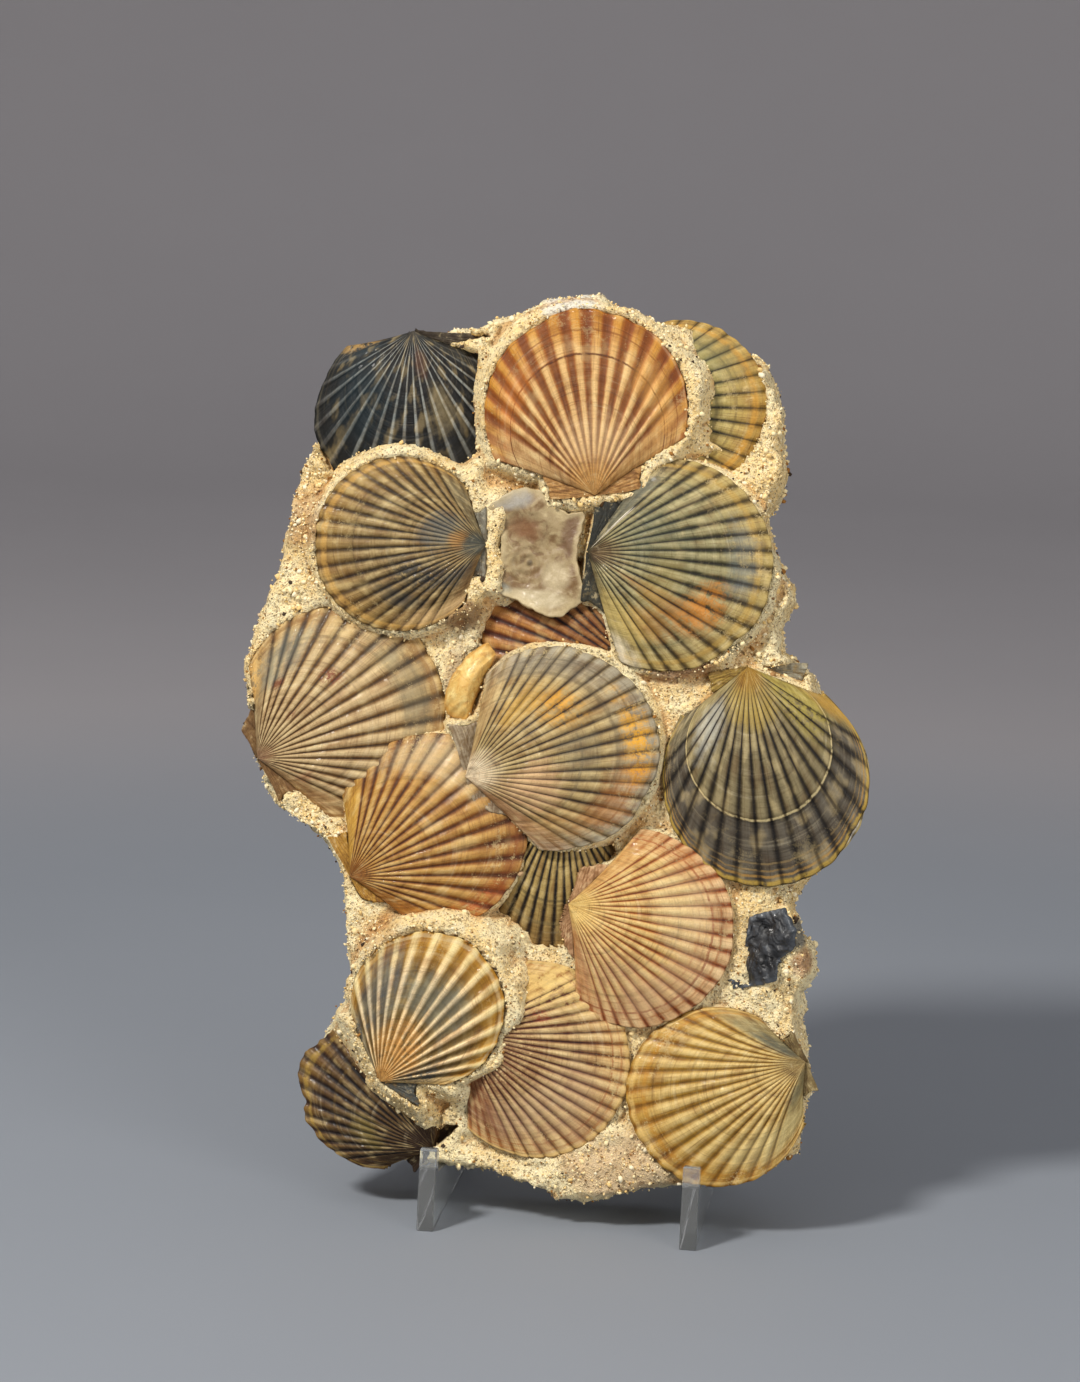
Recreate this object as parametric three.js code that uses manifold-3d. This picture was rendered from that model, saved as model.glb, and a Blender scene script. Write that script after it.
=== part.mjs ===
// A plate of fossil scallops: valves and broken shell set in a slab of sandy shell rock,
// standing on a clear acrylic easel of two flat legs and two crossbars.
//
// Part frame: x to the right, y away from the viewer, z up, millimetres, floor at z = 0.
// Easel frame: x to the right, y up the lean, z out of the slab's face.
// Slab frame: the same, turned a little in the plane of the face; its origin is the slab's
// lowest point.
import * as THREE from "three";
import { mergeVertices } from "three/addons/utils/BufferGeometryUtils.js";
import Module from "manifold-3d";

const wasm = await Module();
wasm.setup();

// Driving dimensions.
const LEAN = THREE.MathUtils.degToRad(10);
const SLAB_FLOOR_GAP = 9;
// The slab's broken foot isn't level, so it sits turned about the middle of the easel's seats.
const SLAB_TURN = THREE.MathUtils.degToRad(3.4);
const TURN_CENTRE = [1.8, 11.6, 0];
// Room left round the legs of the easel, and round each shell.
const GAP = 0.35;
const ROOM = 1;
const ROOM_RISE = 1.8;
const WELL_HEIGHT = 40;

// The slab.
const SLAB_BACK = -43;
const SLAB_FRONT = -3;
const SLAB_CENTRE = new THREE.Vector2(0, 175);
// Steps from the back face round the broken edge to the front: inset from the outline, and z.
const EDGE_STEPS = [[10, SLAB_BACK], [3.5, -34], [0, -19], [4, SLAB_FRONT - 1]];
const INNER_RING = 0.55;
// Broken outline of the slab, clockwise from the top, seen from the front.
const SLAB_OUTLINE = [
  [-2, 344], [19, 345], [25, 340], [55, 332], [76, 322], [85, 313], [89, 295], [88, 271],
  [82, 258], [93, 231], [88, 210], [101, 200], [112, 183], [117, 164], [114, 143], [104, 130],
  [93, 118], [99, 94], [94, 78], [97, 50], [91, 22], [80, 11], [60, 8], [47, 8], [34, 4],
  [0, 0], [-20, 10], [-36, 13], [-58, 13.5], [-66, 18], [-84, 32], [-90, 52], [-81, 80],
  [-82, 120], [-90, 137],
  [-110, 152], [-119, 184], [-119, 208], [-106, 244], [-99, 280], [-91, 302], [-78, 321],
  [-50, 331], [-24, 335],
];

// Valves, topmost first. beak: x, y, z of the hinge tip on the slab. facing: the way the shell
// fans out from its beak, in degrees from x. length: beak to margin. width: across the disc.
// dome: height of the arch. pitch lifts the margin, roll lowers the right side of the fan.
// ears: reach of the left and right hinge ears. rim: sandy rock shown round a raised valve.
const VALVES = [
  { name: "scallop_orange_top", beak: [17.5, 267.5, 5], facing: 96, length: 70, width: 77,
    dome: 5, ribs: 15, pitch: 3, roll: 0, ears: [21, 19], rim: 3.5 },
  { name: "scallop_small_bottom_left", beak: [-64.5, 47, 6], facing: 57, length: 63, width: 59,
    dome: 5, ribs: 14, pitch: 3, roll: -3, ears: [18, 24], rim: 2.5 },
  { name: "scallop_grey_gold_centre", beak: [-32, 162, 5], facing: 17, length: 75, width: 77,
    dome: 12, ribs: 20, pitch: 0, roll: 0, ears: [22, 10], rim: 1 },
  { name: "scallop_grey_green_right", beak: [14.5, 246.5, 3], facing: -10, length: 70, width: 80,
    dome: 8, ribs: 19, pitch: 1, roll: 0, ears: [22, 26], rim: 1.5 },
  { name: "scallop_yellow_blue_left", beak: [-24, 249.5, 4], facing: 179, length: 65.5, width: 66,
    dome: 8, ribs: 21, pitch: 0, roll: 0, ears: [20, 20], rim: 3 },
  { name: "scallop_cream_lower_right", beak: [6.5, 114, 1], facing: -20, length: 64, width: 75,
    dome: 10, ribs: 19, pitch: 0, roll: 0, ears: [16, 8], rim: 0 },
  { name: "scallop_ochre_left", beak: [-77, 124, 0], facing: 29, length: 73.5, width: 74,
    dome: 7, ribs: 17, pitch: 2, roll: 0, ears: [21, 18], rim: 0 },
  { name: "scallop_dark_stepped_right", beak: [74.5, 203, 0], facing: -82, length: 82.5, width: 78,
    dome: 12, ribs: 16, pitch: 0, roll: 0, ears: [20, 22], rim: 0 },
  { name: "scallop_pink_bottom", beak: [-35, 65.5, -1.5], facing: -20, length: 67, width: 74,
    dome: 8, ribs: 19, pitch: 1, roll: 0, ears: [0, 0], rim: 0 },
  { name: "scallop_yellow_bottom_right", beak: [95.5, 55, -1], facing: 202, length: 70, width: 68,
    dome: 9, ribs: 16, pitch: 1, roll: 0, ears: [14, 16], rim: 0 },
  { name: "scallop_grey_left", beak: [-113.5, 169, -5], facing: 28, length: 78, width: 81,
    dome: 9, ribs: 17, pitch: 2, roll: 0, ears: [15, 20], rim: 0 },
  { name: "scallop_dark_top_left", beak: [-53, 331.5, -7], facing: -94, length: 69, width: 72,
    dome: 8, ribs: 15, pitch: 0, roll: 0, ears: [28, 22], rim: 0 },
  { name: "scallop_striped_top_right", beak: [19, 301, -7], facing: 2, length: 62.5, width: 64,
    dome: 7, ribs: 17, pitch: 0, roll: 0, ears: [0, 0], rim: 0 },
  { name: "scallop_brown_centre", beak: [37, 199, -8], facing: 158, length: 67.5, width: 64,
    dome: 8, ribs: 18, pitch: 0, roll: 0, ears: [0, 0], rim: 0 },
  { name: "scallop_striped_centre", beak: [5, 155, -7], facing: -101, length: 58, width: 54,
    dome: 8, ribs: 18, pitch: 0, roll: 0, ears: [0, 0], rim: 0 },
  { name: "scallop_brown_bottom_left", beak: [-46.4, 19.7, -10.8], facing: 135, length: 62, width: 60,
    dome: 8, ribs: 20, pitch: 0, roll: 0, ears: [14, 18], rim: 0 },
  { name: "scallop_grey_right_below", beak: [79, 203, -8], facing: -85, length: 80, width: 74,
    dome: 8, ribs: 16, pitch: 0, roll: 0, ears: [22, 0], rim: 0 },
];

// Broken pieces of shell: outline on the slab, z of the edge, rise of the middle over the edge.
const FRAGMENTS = [
  { name: "oyster_fragment", level: 0, crown: 3, thick: 3, outline: [
    [-25.5, 262], [-17.5, 268], [-9, 272], [-3, 269.5], [7, 260.5], [13.5, 262], [10.5, 244],
    [14, 228.5], [4, 221], [-3.5, 223], [-12, 228.5], [-24.5, 232.5], [-19, 244], [-18.5, 255],
  ] },
  { name: "pale_shell_sliver", level: 1, crown: 6, thick: 4, outline: [
    [-23.5, 213.5], [-20, 209], [-21, 206], [-26, 195], [-32, 182], [-36, 182.5], [-40.5, 187.5],
    [-40.5, 192.5], [-38, 200], [-33, 207], [-28.5, 210.5],
  ] },
  { name: "dark_shell_fragment", level: 0, crown: 2.5, thick: 3, outline: [
    [74.5, 110], [88.5, 113], [93, 105], [92, 97], [86, 93.5], [85, 84.5], [68, 81.5],
    [67.5, 86], [71, 91], [73.5, 103],
  ] },
];

// The order the shells lie in: a fragment is slipped in at its place among the valves.
const [OYSTER, ...LOOSE] = FRAGMENTS;
const SHELLS_FROM_THE_TOP = [...LOOSE, ...VALVES.slice(0, 13), OYSTER, ...VALVES.slice(13)];

// Shape of a valve.
const BEAK_HALF_ANGLE = THREE.MathUtils.degToRad(58);
const MARGIN_HALF_ANGLE = THREE.MathUtils.degToRad(64);
const WIDEST_VIEW = 0.93;
const ARCH_PEAK = 0.42;
const RIB_HEIGHT = 0.8;
const MARGIN_RIB = 0.5;
const RIBBED_SPAN = 0.84;
const ROOM_COLUMNS = 11;
const VALVE_EDGE = 1.4;
const VALVE_WALL = 3.2;
const GROWTH_ROWS = [0.3, 0.68, 1];
const EAR_WALL = 2;
const EAR_TOP = 0.2;
const EAR_ROOT = 3;
const EAR_LAP = 0.7;
const EAR_TAPER = 0.82;
const EAR_SLOPE = 0.4;

// Sandy rock heaped round a raised valve: how far its foot spreads beyond the rim, the foot's
// z on the slab, and the rim's height beside the valve.
const HEAP_SPREAD = 4;
const HEAP_FOOT = -8;
const HEAP_RIM = 0.4;

// The easel.
const SHEET = 6.4;
const LEG_X = [-45.5, 53.5];
const SEAT = 11.6;
const LIP_FACE = 8;
const LIP_TOP = 20;
const LIP_WIDTH = 6.4;
const UPRIGHT_FACE = -45.5;
const UPRIGHT_ROOT = 16;
const UPRIGHT_TIP = 9;
const UPRIGHT_TOP = 172;
const FOOT_HEIGHT = 6.8;
const FOOT_FRONT = -14.3;
const FOOT_BACK = 104;
const GUSSET_REACH = 30;
const GUSSET_FOOT = 4;
const GUSSET_TOP = 30;
const TIP_ROUNDING = 2.5;
const SEAT_ROUNDING = 1.2;
const LIP_ROUNDING = 0.8;
// The high bar spans these heights up the lean, the low bar these distances back on the floor.
const HIGH_BAR = [128, 148];
const HIGH_BAR_INSET = 1;
const LOW_BAR = [82, 98];

const { degToRad } = THREE.MathUtils;

function solidFrom(geometry) {
  const bare = geometry.clone();
  bare.deleteAttribute("normal");
  bare.deleteAttribute("uv");
  const merged = mergeVertices(bare, 1e-4);
  return new wasm.Manifold(new wasm.Mesh({
    numProp: 3,
    vertProperties: new Float32Array(merged.attributes.position.array),
    triVerts: new Uint32Array(merged.index.array),
  }));
}

function geometryFrom(solid) {
  const { vertProperties, triVerts, numProp, numVert } = solid.getMesh();
  const places = new Float32Array(numVert * 3);
  for (let i = 0; i < numVert; i++) {
    places.set(vertProperties.subarray(i * numProp, i * numProp + 3), i * 3);
  }
  const geometry = new THREE.BufferGeometry();
  geometry.setAttribute("position", new THREE.BufferAttribute(places, 3));
  geometry.setIndex(new THREE.BufferAttribute(new Uint32Array(triVerts), 1));
  geometry.computeVertexNormals();
  return geometry;
}

function largestBody(solid) {
  const bodies = solid.decompose();
  return bodies.reduce((best, body) => (body.volume() > best.volume() ? body : best));
}

// An outline that runs anticlockwise, moved out by a distance.
function grownOutline(corners, distance) {
  const points = corners.map(([x, y]) => new THREE.Vector2(x, y));
  return points.map((point, i) => {
    const before = points[(i + points.length - 1) % points.length];
    const after = points[(i + 1) % points.length];
    const arriving = point.clone().sub(before).normalize();
    const leaving = after.clone().sub(point).normalize();
    const outward = new THREE.Vector2(arriving.y + leaving.y, -arriving.x - leaving.x).normalize();
    const share = outward.x * arriving.y - outward.y * arriving.x;
    return point.clone().addScaledVector(outward, distance / Math.max(share, 0.5));
  });
}

// A closed mesh from rings of equal count, capped by a point at each end.
function ringedGeometry(rings, firstTip, lastTip) {
  const count = rings[0].length;
  const places = [firstTip, ...rings.flat(), lastTip];
  const last = places.length - 1;
  const faces = [];
  for (let i = 0; i < count; i++) {
    const next = (i + 1) % count;
    faces.push(0, 1 + next, 1 + i);
    for (let r = 0; r + 1 < rings.length; r++) {
      const a = 1 + r * count;
      const b = a + count;
      faces.push(a + i, a + next, b + next, a + i, b + next, b + i);
    }
    const top = 1 + (rings.length - 1) * count;
    faces.push(last, top + i, top + next);
  }
  const geometry = new THREE.BufferGeometry();
  geometry.setAttribute("position", new THREE.Float32BufferAttribute(places.flat(), 3));
  geometry.setIndex(faces);
  return geometry;
}

// The margin is a circle of the valve's width that stands off the beak. Seen from the beak, no
// fan can open wider than that circle looks.
function marginHalfAngle(valve) {
  const radius = valve.width / 2;
  const reach = (WIDEST_VIEW * radius) / (valve.length - radius);
  return Math.min(MARGIN_HALF_ANGLE, Math.asin(Math.min(1, reach)));
}

// Distance from beak to margin along a ray at an angle from the valve's middle line.
function marginRadius(valve, angle) {
  const radius = valve.width / 2;
  const offset = valve.length - radius;
  return offset * Math.cos(angle) + Math.sqrt(radius ** 2 - (offset * Math.sin(angle)) ** 2);
}

// A point of the disc in the valve's own frame. across runs from -1 to 1 between the two
// shoulders, along from 0 at the beak to 1 at the margin. The fan opens as it grows.
function discPoint(valve, across, along, grow = 0) {
  const atMargin = marginHalfAngle(valve);
  const angle = across * (BEAK_HALF_ANGLE + (atMargin - BEAK_HALF_ANGLE) * along ** 0.8);
  const reach = marginRadius(valve, across * atMargin) * along;
  const x = reach * Math.sin(angle);
  const y = reach * Math.cos(angle);
  const away = Math.hypot(x, y - valve.length / 2) || 1;
  return [x + (grow * x) / away, y + (grow * (y - valve.length / 2)) / away];
}

function archHeight(valve, across, along) {
  const fromBeak = Math.sin(Math.PI * along ** 0.72);
  const sideways = Math.max(0, 1 - Math.abs(across) ** 2.6) ** 0.75;
  return valve.dome * fromBeak * sideways;
}

// The disc: a ribbed fan over a plain hollow underside, as one closed body. Grown, it is the
// smooth room that the disc's neighbours leave round it, drawn with fewer columns.
function discSolid(valve, grow) {
  const columns = grow ? ROOM_COLUMNS : valve.ribs * 2 + 2;
  // Ribs fill the middle of the fan, and its first and last columns are the bare shoulders.
  const acrossAt = (i) => {
    if (grow) return (2 * i) / columns - 1;
    if (i === 0) return -1;
    if (i === columns) return 1;
    return RIBBED_SPAN * ((i - 1) / valve.ribs - 1);
  };
  const places = [[0, -grow, grow * ROOM_RISE]];
  for (const along of GROWTH_ROWS) {
    for (let i = 0; i <= columns; i++) {
      const across = acrossAt(i);
      const ribbed = grow || i === 0 || i === columns ? 0 : RIB_HEIGHT;
      const rib = ribbed * (along < 1 ? along : MARGIN_RIB) * (i % 2 ? -1 : 1);
      const rise = archHeight(valve, across, along) + rib;
      places.push([...discPoint(valve, across, along, grow), rise + grow * ROOM_RISE]);
    }
  }
  const wide = columns + 1;
  const at = (row, i) => 1 + row * wide + i;
  const faces = [];
  for (let i = 0; i < columns; i++) {
    faces.push(0, at(0, i + 1), at(0, i));
    for (let row = 0; row + 1 < GROWTH_ROWS.length; row++) {
      faces.push(at(row, i), at(row, i + 1), at(row + 1, i + 1));
      faces.push(at(row, i), at(row + 1, i + 1), at(row + 1, i));
    }
  }
  // The rim, from the beak up the right shoulder, round the margin and down the left one.
  const rows = GROWTH_ROWS.length;
  const rim = [0];
  for (let row = 0; row < rows - 1; row++) rim.push(at(row, columns));
  for (let i = columns; i >= 0; i--) rim.push(at(rows - 1, i));
  for (let row = rows - 2; row >= 0; row--) rim.push(at(row, 0));
  // Below it the underside starts, with half as many points under the ribbed margin.
  const isKept = (n) => grow > 0 || n < rows || n > rows + columns || (n - rows) % 2 === 0;
  const under = rim.map((k, n) => {
    const [x, y] = places[k];
    if (isKept(n)) places.push([x, y, -VALVE_EDGE - grow]);
    return places.length - 1;
  });
  const apex = places.length;
  places.push([0, valve.length * ARCH_PEAK, valve.dome - VALVE_WALL - grow]);
  for (let n = 0; n < rim.length; n++) {
    const next = (n + 1) % rim.length;
    faces.push(rim[next], rim[n], under[n]);
    if (under[next] === under[n]) continue;
    faces.push(rim[next], under[n], under[next], apex, under[next], under[n]);
  }
  const geometry = new THREE.BufferGeometry();
  geometry.setAttribute("position", new THREE.Float32BufferAttribute(places.flat(), 3));
  geometry.setIndex(faces);
  return solidFrom(geometry);
}

// A flat ear beside the beak, between the straight hinge line and the shoulder.
function earOutline(valve, side, grow) {
  const reach = valve.ears[side > 0 ? 1 : 0];
  const [shoulderX, shoulderY] = discPoint(valve, side * 0.9, 0.5);
  const corners = [
    [-side * EAR_LAP, EAR_ROOT],
    [side * EAR_LAP * 2, -EAR_LAP / 2],
    [side * reach, 0],
    [side * reach * EAR_TAPER, reach * EAR_SLOPE],
    [shoulderX, shoulderY],
  ];
  return grownOutline(side > 0 ? corners : corners.reverse(), grow);
}

function slabOf(outline, from, to) {
  const shape = new THREE.Shape(outline);
  const sheet = new THREE.ExtrudeGeometry(shape, { depth: to - from, bevelEnabled: false });
  sheet.translate(0, 0, from);
  return solidFrom(sheet);
}

function earSides(valve) {
  return [-1, 1].filter((side) => valve.ears[side > 0 ? 1 : 0] > 0);
}

function valveSolid(valve, grow = 0) {
  return earSides(valve).reduce((solid, side) => solid.add(slabOf(
    earOutline(valve, side, grow),
    EAR_TOP - EAR_WALL - grow,
    EAR_TOP + grow,
  )), discSolid(valve, grow));
}

// The edge of the disc as seen from the front, drawn with few points.
function discEdge(valve, grow) {
  const side = (across) => GROWTH_ROWS.slice(0, -1).map((along) => [across, along]);
  const margin = [];
  for (let i = 0; i <= ROOM_COLUMNS; i++) margin.push([1 - (2 * i) / ROOM_COLUMNS, 1]);
  const stops = [[0, 0], ...side(1), ...margin, ...side(-1).reverse()];
  return stops.map(([across, along]) => new THREE.Vector2(...discPoint(valve, across, along, grow)));
}

// The well over a shell, from just under its edge right up: nothing that lies lower rises in it.
function wellSolid(shell) {
  if (shell.outline) {
    return slabOf(
      grownOutline([...shell.outline].reverse(), ROOM),
      shell.level - shell.thick - ROOM,
      shell.level + WELL_HEIGHT,
    );
  }
  const floor = -VALVE_EDGE - ROOM;
  return earSides(shell).reduce(
    (well, side) => well.add(slabOf(earOutline(shell, side, ROOM), floor, WELL_HEIGHT)),
    slabOf(discEdge(shell, ROOM), floor, WELL_HEIGHT),
  );
}

// The rock heaped round a raised valve: a low mound that follows the valve's edge.
function heapSolid(valve) {
  const foot = HEAP_FOOT - valve.beak[2];
  const ring = (grow, z) => discEdge(valve, grow).map(({ x, y }) => [x, y, z]);
  return solidFrom(ringedGeometry(
    [ring(valve.rim + HEAP_SPREAD, foot), ring(valve.rim, HEAP_RIM)],
    [0, valve.length / 2, foot],
    [0, valve.length / 2, HEAP_RIM],
  ));
}

// Low uneven ground of the broken rock, from a few crossing waves.
function groundHeight(x, y) {
  const broad = 1.8 * Math.sin(0.061 * x + 0.8) * Math.cos(0.053 * y - 0.4);
  const fine = 1.2 * Math.sin(0.17 * x - 0.12 * y + 2.1);
  return broad + fine;
}

function slabSolid() {
  const outline = SLAB_OUTLINE.map(([x, y]) => new THREE.Vector2(x, y));
  const inset = (point, distance) => {
    const spoke = point.clone().sub(SLAB_CENTRE);
    return spoke.multiplyScalar(1 - distance / spoke.length()).add(SLAB_CENTRE);
  };
  const shrunk = (point, scale) => SLAB_CENTRE.clone().lerp(point, scale);
  const ring = (place, z, rough) => outline.map((point) => {
    const { x, y } = place(point);
    return [x, y, z + rough * groundHeight(x, y)];
  });
  const back = ring((p) => shrunk(p, INNER_RING), SLAB_BACK - 0.5, 0.5);
  const edge = EDGE_STEPS.map(([distance, z]) => ring((p) => inset(p, distance), z, 0.6));
  const front = ring((p) => shrunk(p, INNER_RING), SLAB_FRONT, 1);
  const { x, y } = SLAB_CENTRE;
  // The outline runs clockwise, so its rings are turned to run the other way.
  const rings = [back, ...edge, front].map((points) => [...points].reverse());
  return solidFrom(ringedGeometry(rings, [x, y, SLAB_BACK], [x, y, SLAB_FRONT]));
}

function fragmentSolid(piece, grow = 0) {
  const outline = grownOutline([...piece.outline].reverse(), grow);
  const centre = new THREE.Vector2();
  for (const corner of outline) centre.addScaledVector(corner, 1 / outline.length);
  const ring = (scale, z) => outline.map((corner) => {
    const { x, y } = centre.clone().lerp(corner, scale);
    return [x, y, piece.level + z];
  });
  const foot = -piece.thick - grow;
  const crown = piece.crown + grow;
  return solidFrom(ringedGeometry(
    [ring(1, foot), ring(1, grow), ring(0.62, crown - 0.2 * piece.crown)],
    [centre.x, centre.y, piece.level + foot],
    [centre.x, centre.y, piece.level + crown],
  ));
}

function solidOf(shell, grow = 0) {
  return shell.outline ? fragmentSolid(shell, grow) : valveSolid(shell, grow);
}

// The easel's frame, the slab's turn in it, and a valve's frame on the slab.
const easelMatrix = new THREE.Matrix4()
  .makeTranslation(0, 0, SLAB_FLOOR_GAP)
  .multiply(new THREE.Matrix4().makeRotationX(Math.PI / 2 - LEAN));
const turnMatrix = new THREE.Matrix4()
  .makeTranslation(...TURN_CENTRE)
  .multiply(new THREE.Matrix4().makeRotationZ(SLAB_TURN))
  .multiply(new THREE.Matrix4().makeTranslation(...TURN_CENTRE).invert());

function shellPlacement(valve) {
  const holder = new THREE.Object3D();
  if (valve.outline) return holder.matrix;
  holder.position.set(...valve.beak);
  holder.rotation.set(degToRad(valve.pitch), degToRad(valve.roll), degToRad(valve.facing - 90), "ZXY");
  holder.updateMatrix();
  return holder.matrix;
}

// Side outline of a leg in the easel's frame, as [z, y]: lip, seat and upright follow the lean.
function easelSide(z, y) {
  const place = new THREE.Vector3(0, y, z).applyMatrix4(easelMatrix);
  return [place.y, place.z];
}

function closedShape(corners) {
  const shape = new THREE.Shape();
  shape.moveTo(...corners[0]);
  for (const corner of corners.slice(1)) shape.lineTo(...corner);
  shape.closePath();
  return shape;
}

function legShape() {
  const lipFront = LIP_FACE + LIP_WIDTH;
  return closedShape([
    [FOOT_FRONT, 0],
    [FOOT_BACK, 0],
    [FOOT_BACK, FOOT_HEIGHT],
    easelSide(UPRIGHT_FACE - GUSSET_REACH, SEAT + GUSSET_FOOT),
    easelSide(UPRIGHT_FACE - UPRIGHT_ROOT, SEAT + GUSSET_TOP),
    easelSide(UPRIGHT_FACE - UPRIGHT_TIP, UPRIGHT_TOP - TIP_ROUNDING),
    easelSide(UPRIGHT_FACE - UPRIGHT_TIP + TIP_ROUNDING, UPRIGHT_TOP),
    easelSide(UPRIGHT_FACE - TIP_ROUNDING, UPRIGHT_TOP),
    easelSide(UPRIGHT_FACE, UPRIGHT_TOP - TIP_ROUNDING),
    easelSide(UPRIGHT_FACE, SEAT + SEAT_ROUNDING),
    easelSide(UPRIGHT_FACE + SEAT_ROUNDING, SEAT),
    easelSide(LIP_FACE - SEAT_ROUNDING, SEAT),
    easelSide(LIP_FACE, SEAT + SEAT_ROUNDING),
    easelSide(LIP_FACE, LIP_TOP - LIP_ROUNDING),
    easelSide(LIP_FACE + LIP_ROUNDING, LIP_TOP),
    easelSide(lipFront - LIP_ROUNDING, LIP_TOP),
    easelSide(lipFront, LIP_TOP - LIP_ROUNDING),
    [FOOT_FRONT, FOOT_HEIGHT],
  ]);
}

// A shape drawn in the plane of y and z, as a sheet that starts at x and runs to the right.
function sheetGeometry(shape, x, width) {
  const geometry = new THREE.ExtrudeGeometry(shape, { depth: width, bevelEnabled: false });
  // The shape's axes, x and y, become y and z, and its depth becomes x.
  geometry.applyMatrix4(new THREE.Matrix4().set(0, 0, 1, x, 1, 0, 0, 0, 0, 1, 0, 0, 0, 0, 0, 1));
  return geometry;
}

const shellRock = new THREE.MeshStandardMaterial({ color: 0xd9c08a, roughness: 0.95 });
const acrylic = new THREE.MeshStandardMaterial({ color: 0xe6ecef, roughness: 0.05 });
const shellColours = {
  scallop_orange_top: 0xd8944a,
  scallop_small_bottom_left: 0xc9ae68,
  scallop_grey_gold_centre: 0xa79368,
  scallop_grey_green_right: 0x8f8d72,
  scallop_yellow_blue_left: 0xb39c60,
  scallop_cream_lower_right: 0xd9ae73,
  scallop_ochre_left: 0xc59b5c,
  scallop_dark_stepped_right: 0x5c543f,
  scallop_pink_bottom: 0xc7a074,
  scallop_yellow_bottom_right: 0xc9a85c,
  scallop_grey_left: 0xb7a27a,
  scallop_dark_top_left: 0x2e2b2a,
  scallop_striped_top_right: 0x9c8354,
  scallop_brown_centre: 0x8a5328,
  scallop_striped_centre: 0x5f5233,
  scallop_brown_bottom_left: 0x584529,
  scallop_grey_right_below: 0x9a927a,
  oyster_fragment: 0xa99a84,
  pale_shell_sliver: 0xe0bf78,
  dark_shell_fragment: 0x2b2c2e,
};

function namedMesh(name, geometry, material) {
  const mesh = new THREE.Mesh(geometry, material);
  mesh.name = name;
  return mesh;
}

// Build the easel first, because the slab is notched where it sits in it.
const easel = new THREE.Group();
const leg = legShape();
easel.add(namedMesh("easel_leg_left", sheetGeometry(leg, LEG_X[0] - SHEET / 2, SHEET), acrylic));
easel.add(namedMesh("easel_leg_right", sheetGeometry(leg, LEG_X[1] - SHEET / 2, SHEET), acrylic));
const barStart = LEG_X[0] + SHEET / 2;
const barLength = LEG_X[1] - LEG_X[0] - SHEET;
const highBack = UPRIGHT_FACE - HIGH_BAR_INSET - SHEET;
easel.add(namedMesh("easel_bar_high", sheetGeometry(closedShape([
  easelSide(highBack, HIGH_BAR[0]),
  easelSide(highBack, HIGH_BAR[1]),
  easelSide(highBack + SHEET, HIGH_BAR[1]),
  easelSide(highBack + SHEET, HIGH_BAR[0]),
]), barStart, barLength), acrylic));
easel.add(namedMesh("easel_bar_low", sheetGeometry(closedShape([
  [LOW_BAR[0], 0],
  [LOW_BAR[1], 0],
  [LOW_BAR[1], SHEET],
  [LOW_BAR[0], SHEET],
]), barStart, barLength), acrylic));

// Room that the slab and its shells leave round each leg, in the slab's frame.
const intoSlab = turnMatrix.clone().invert();
const legRoom = LEG_X.map((x) => {
  const lipFront = LIP_FACE + LIP_WIDTH + GAP;
  const depth = SLAB_FLOOR_GAP * 2;
  const room = new THREE.BoxGeometry(SHEET + 2 * GAP, SEAT + GAP + depth, lipFront - UPRIGHT_FACE);
  room.translate(x, (SEAT + GAP - depth) / 2, (lipFront + UPRIGHT_FACE) / 2);
  const lip = new THREE.BoxGeometry(SHEET + 2 * GAP, LIP_TOP + GAP, LIP_WIDTH + 2 * GAP);
  lip.translate(x, (LIP_TOP + GAP) / 2, LIP_FACE + LIP_WIDTH / 2);
  return solidFrom(room).add(solidFrom(lip)).transform(intoSlab.elements);
});

// Each shell in the slab's frame, cut clear of what lies over it.
const slab = new THREE.Group();
slab.applyMatrix4(easelMatrix.clone().multiply(turnMatrix));
const above = [...legRoom];
for (const shell of SHELLS_FROM_THE_TOP) {
  const placement = shellPlacement(shell);
  const whole = solidOf(shell).transform(placement.elements);
  const solid = largestBody(above.reduce((left, cover) => left.subtract(cover), whole));
  above.push(wellSolid(shell).transform(placement.elements));
  const geometry = geometryFrom(solid).applyMatrix4(placement.clone().invert());
  const look = new THREE.MeshStandardMaterial({ color: shellColours[shell.name], roughness: 0.55 });
  const mesh = namedMesh(shell.name, geometry, look);
  mesh.applyMatrix4(placement);
  slab.add(mesh);
}

// The rock, from the lowest shell up: heaped round a raised shell, clear of the shells under
// the heap, and open over the shell itself.
const within = slabOf(grownOutline([...SLAB_OUTLINE].reverse(), 0), -WELL_HEIGHT, WELL_HEIGHT);
const lowerRooms = [];
let rock = slabSolid();
for (const shell of [...SHELLS_FROM_THE_TOP].reverse()) {
  const { elements } = shellPlacement(shell);
  if (shell.rim) {
    const heap = heapSolid(shell).transform(elements).intersect(within);
    rock = rock.add(lowerRooms.reduce((left, room) => left.subtract(room), heap));
  }
  rock = rock.subtract(wellSolid(shell).transform(elements));
  lowerRooms.push(solidOf(shell, ROOM).transform(elements));
}
for (const room of legRoom) rock = rock.subtract(room);
slab.add(namedMesh("rock_matrix", geometryFrom(largestBody(rock)), shellRock));

// The whole plate, with the middle of its footprint at the origin.
const plate = new THREE.Group();
plate.add(easel, slab);
plate.updateMatrixWorld(true);
const extent = new THREE.Box3().setFromObject(plate, true);
const middle = extent.getCenter(new THREE.Vector3());
plate.position.set(-middle.x, -middle.y, -extent.min.z);

export default plate;
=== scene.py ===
# %% [markdown]
# # A plate of fossil scallops
# The object is a slab of sandy shell rock, crowded with the ribbed valves of fossil scallops.
# It leans back on a clear acrylic easel. The solids of every piece are already made and packed,
# so this lesson loads them as a fixed frame and gives each piece its true surface and finish.

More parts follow.
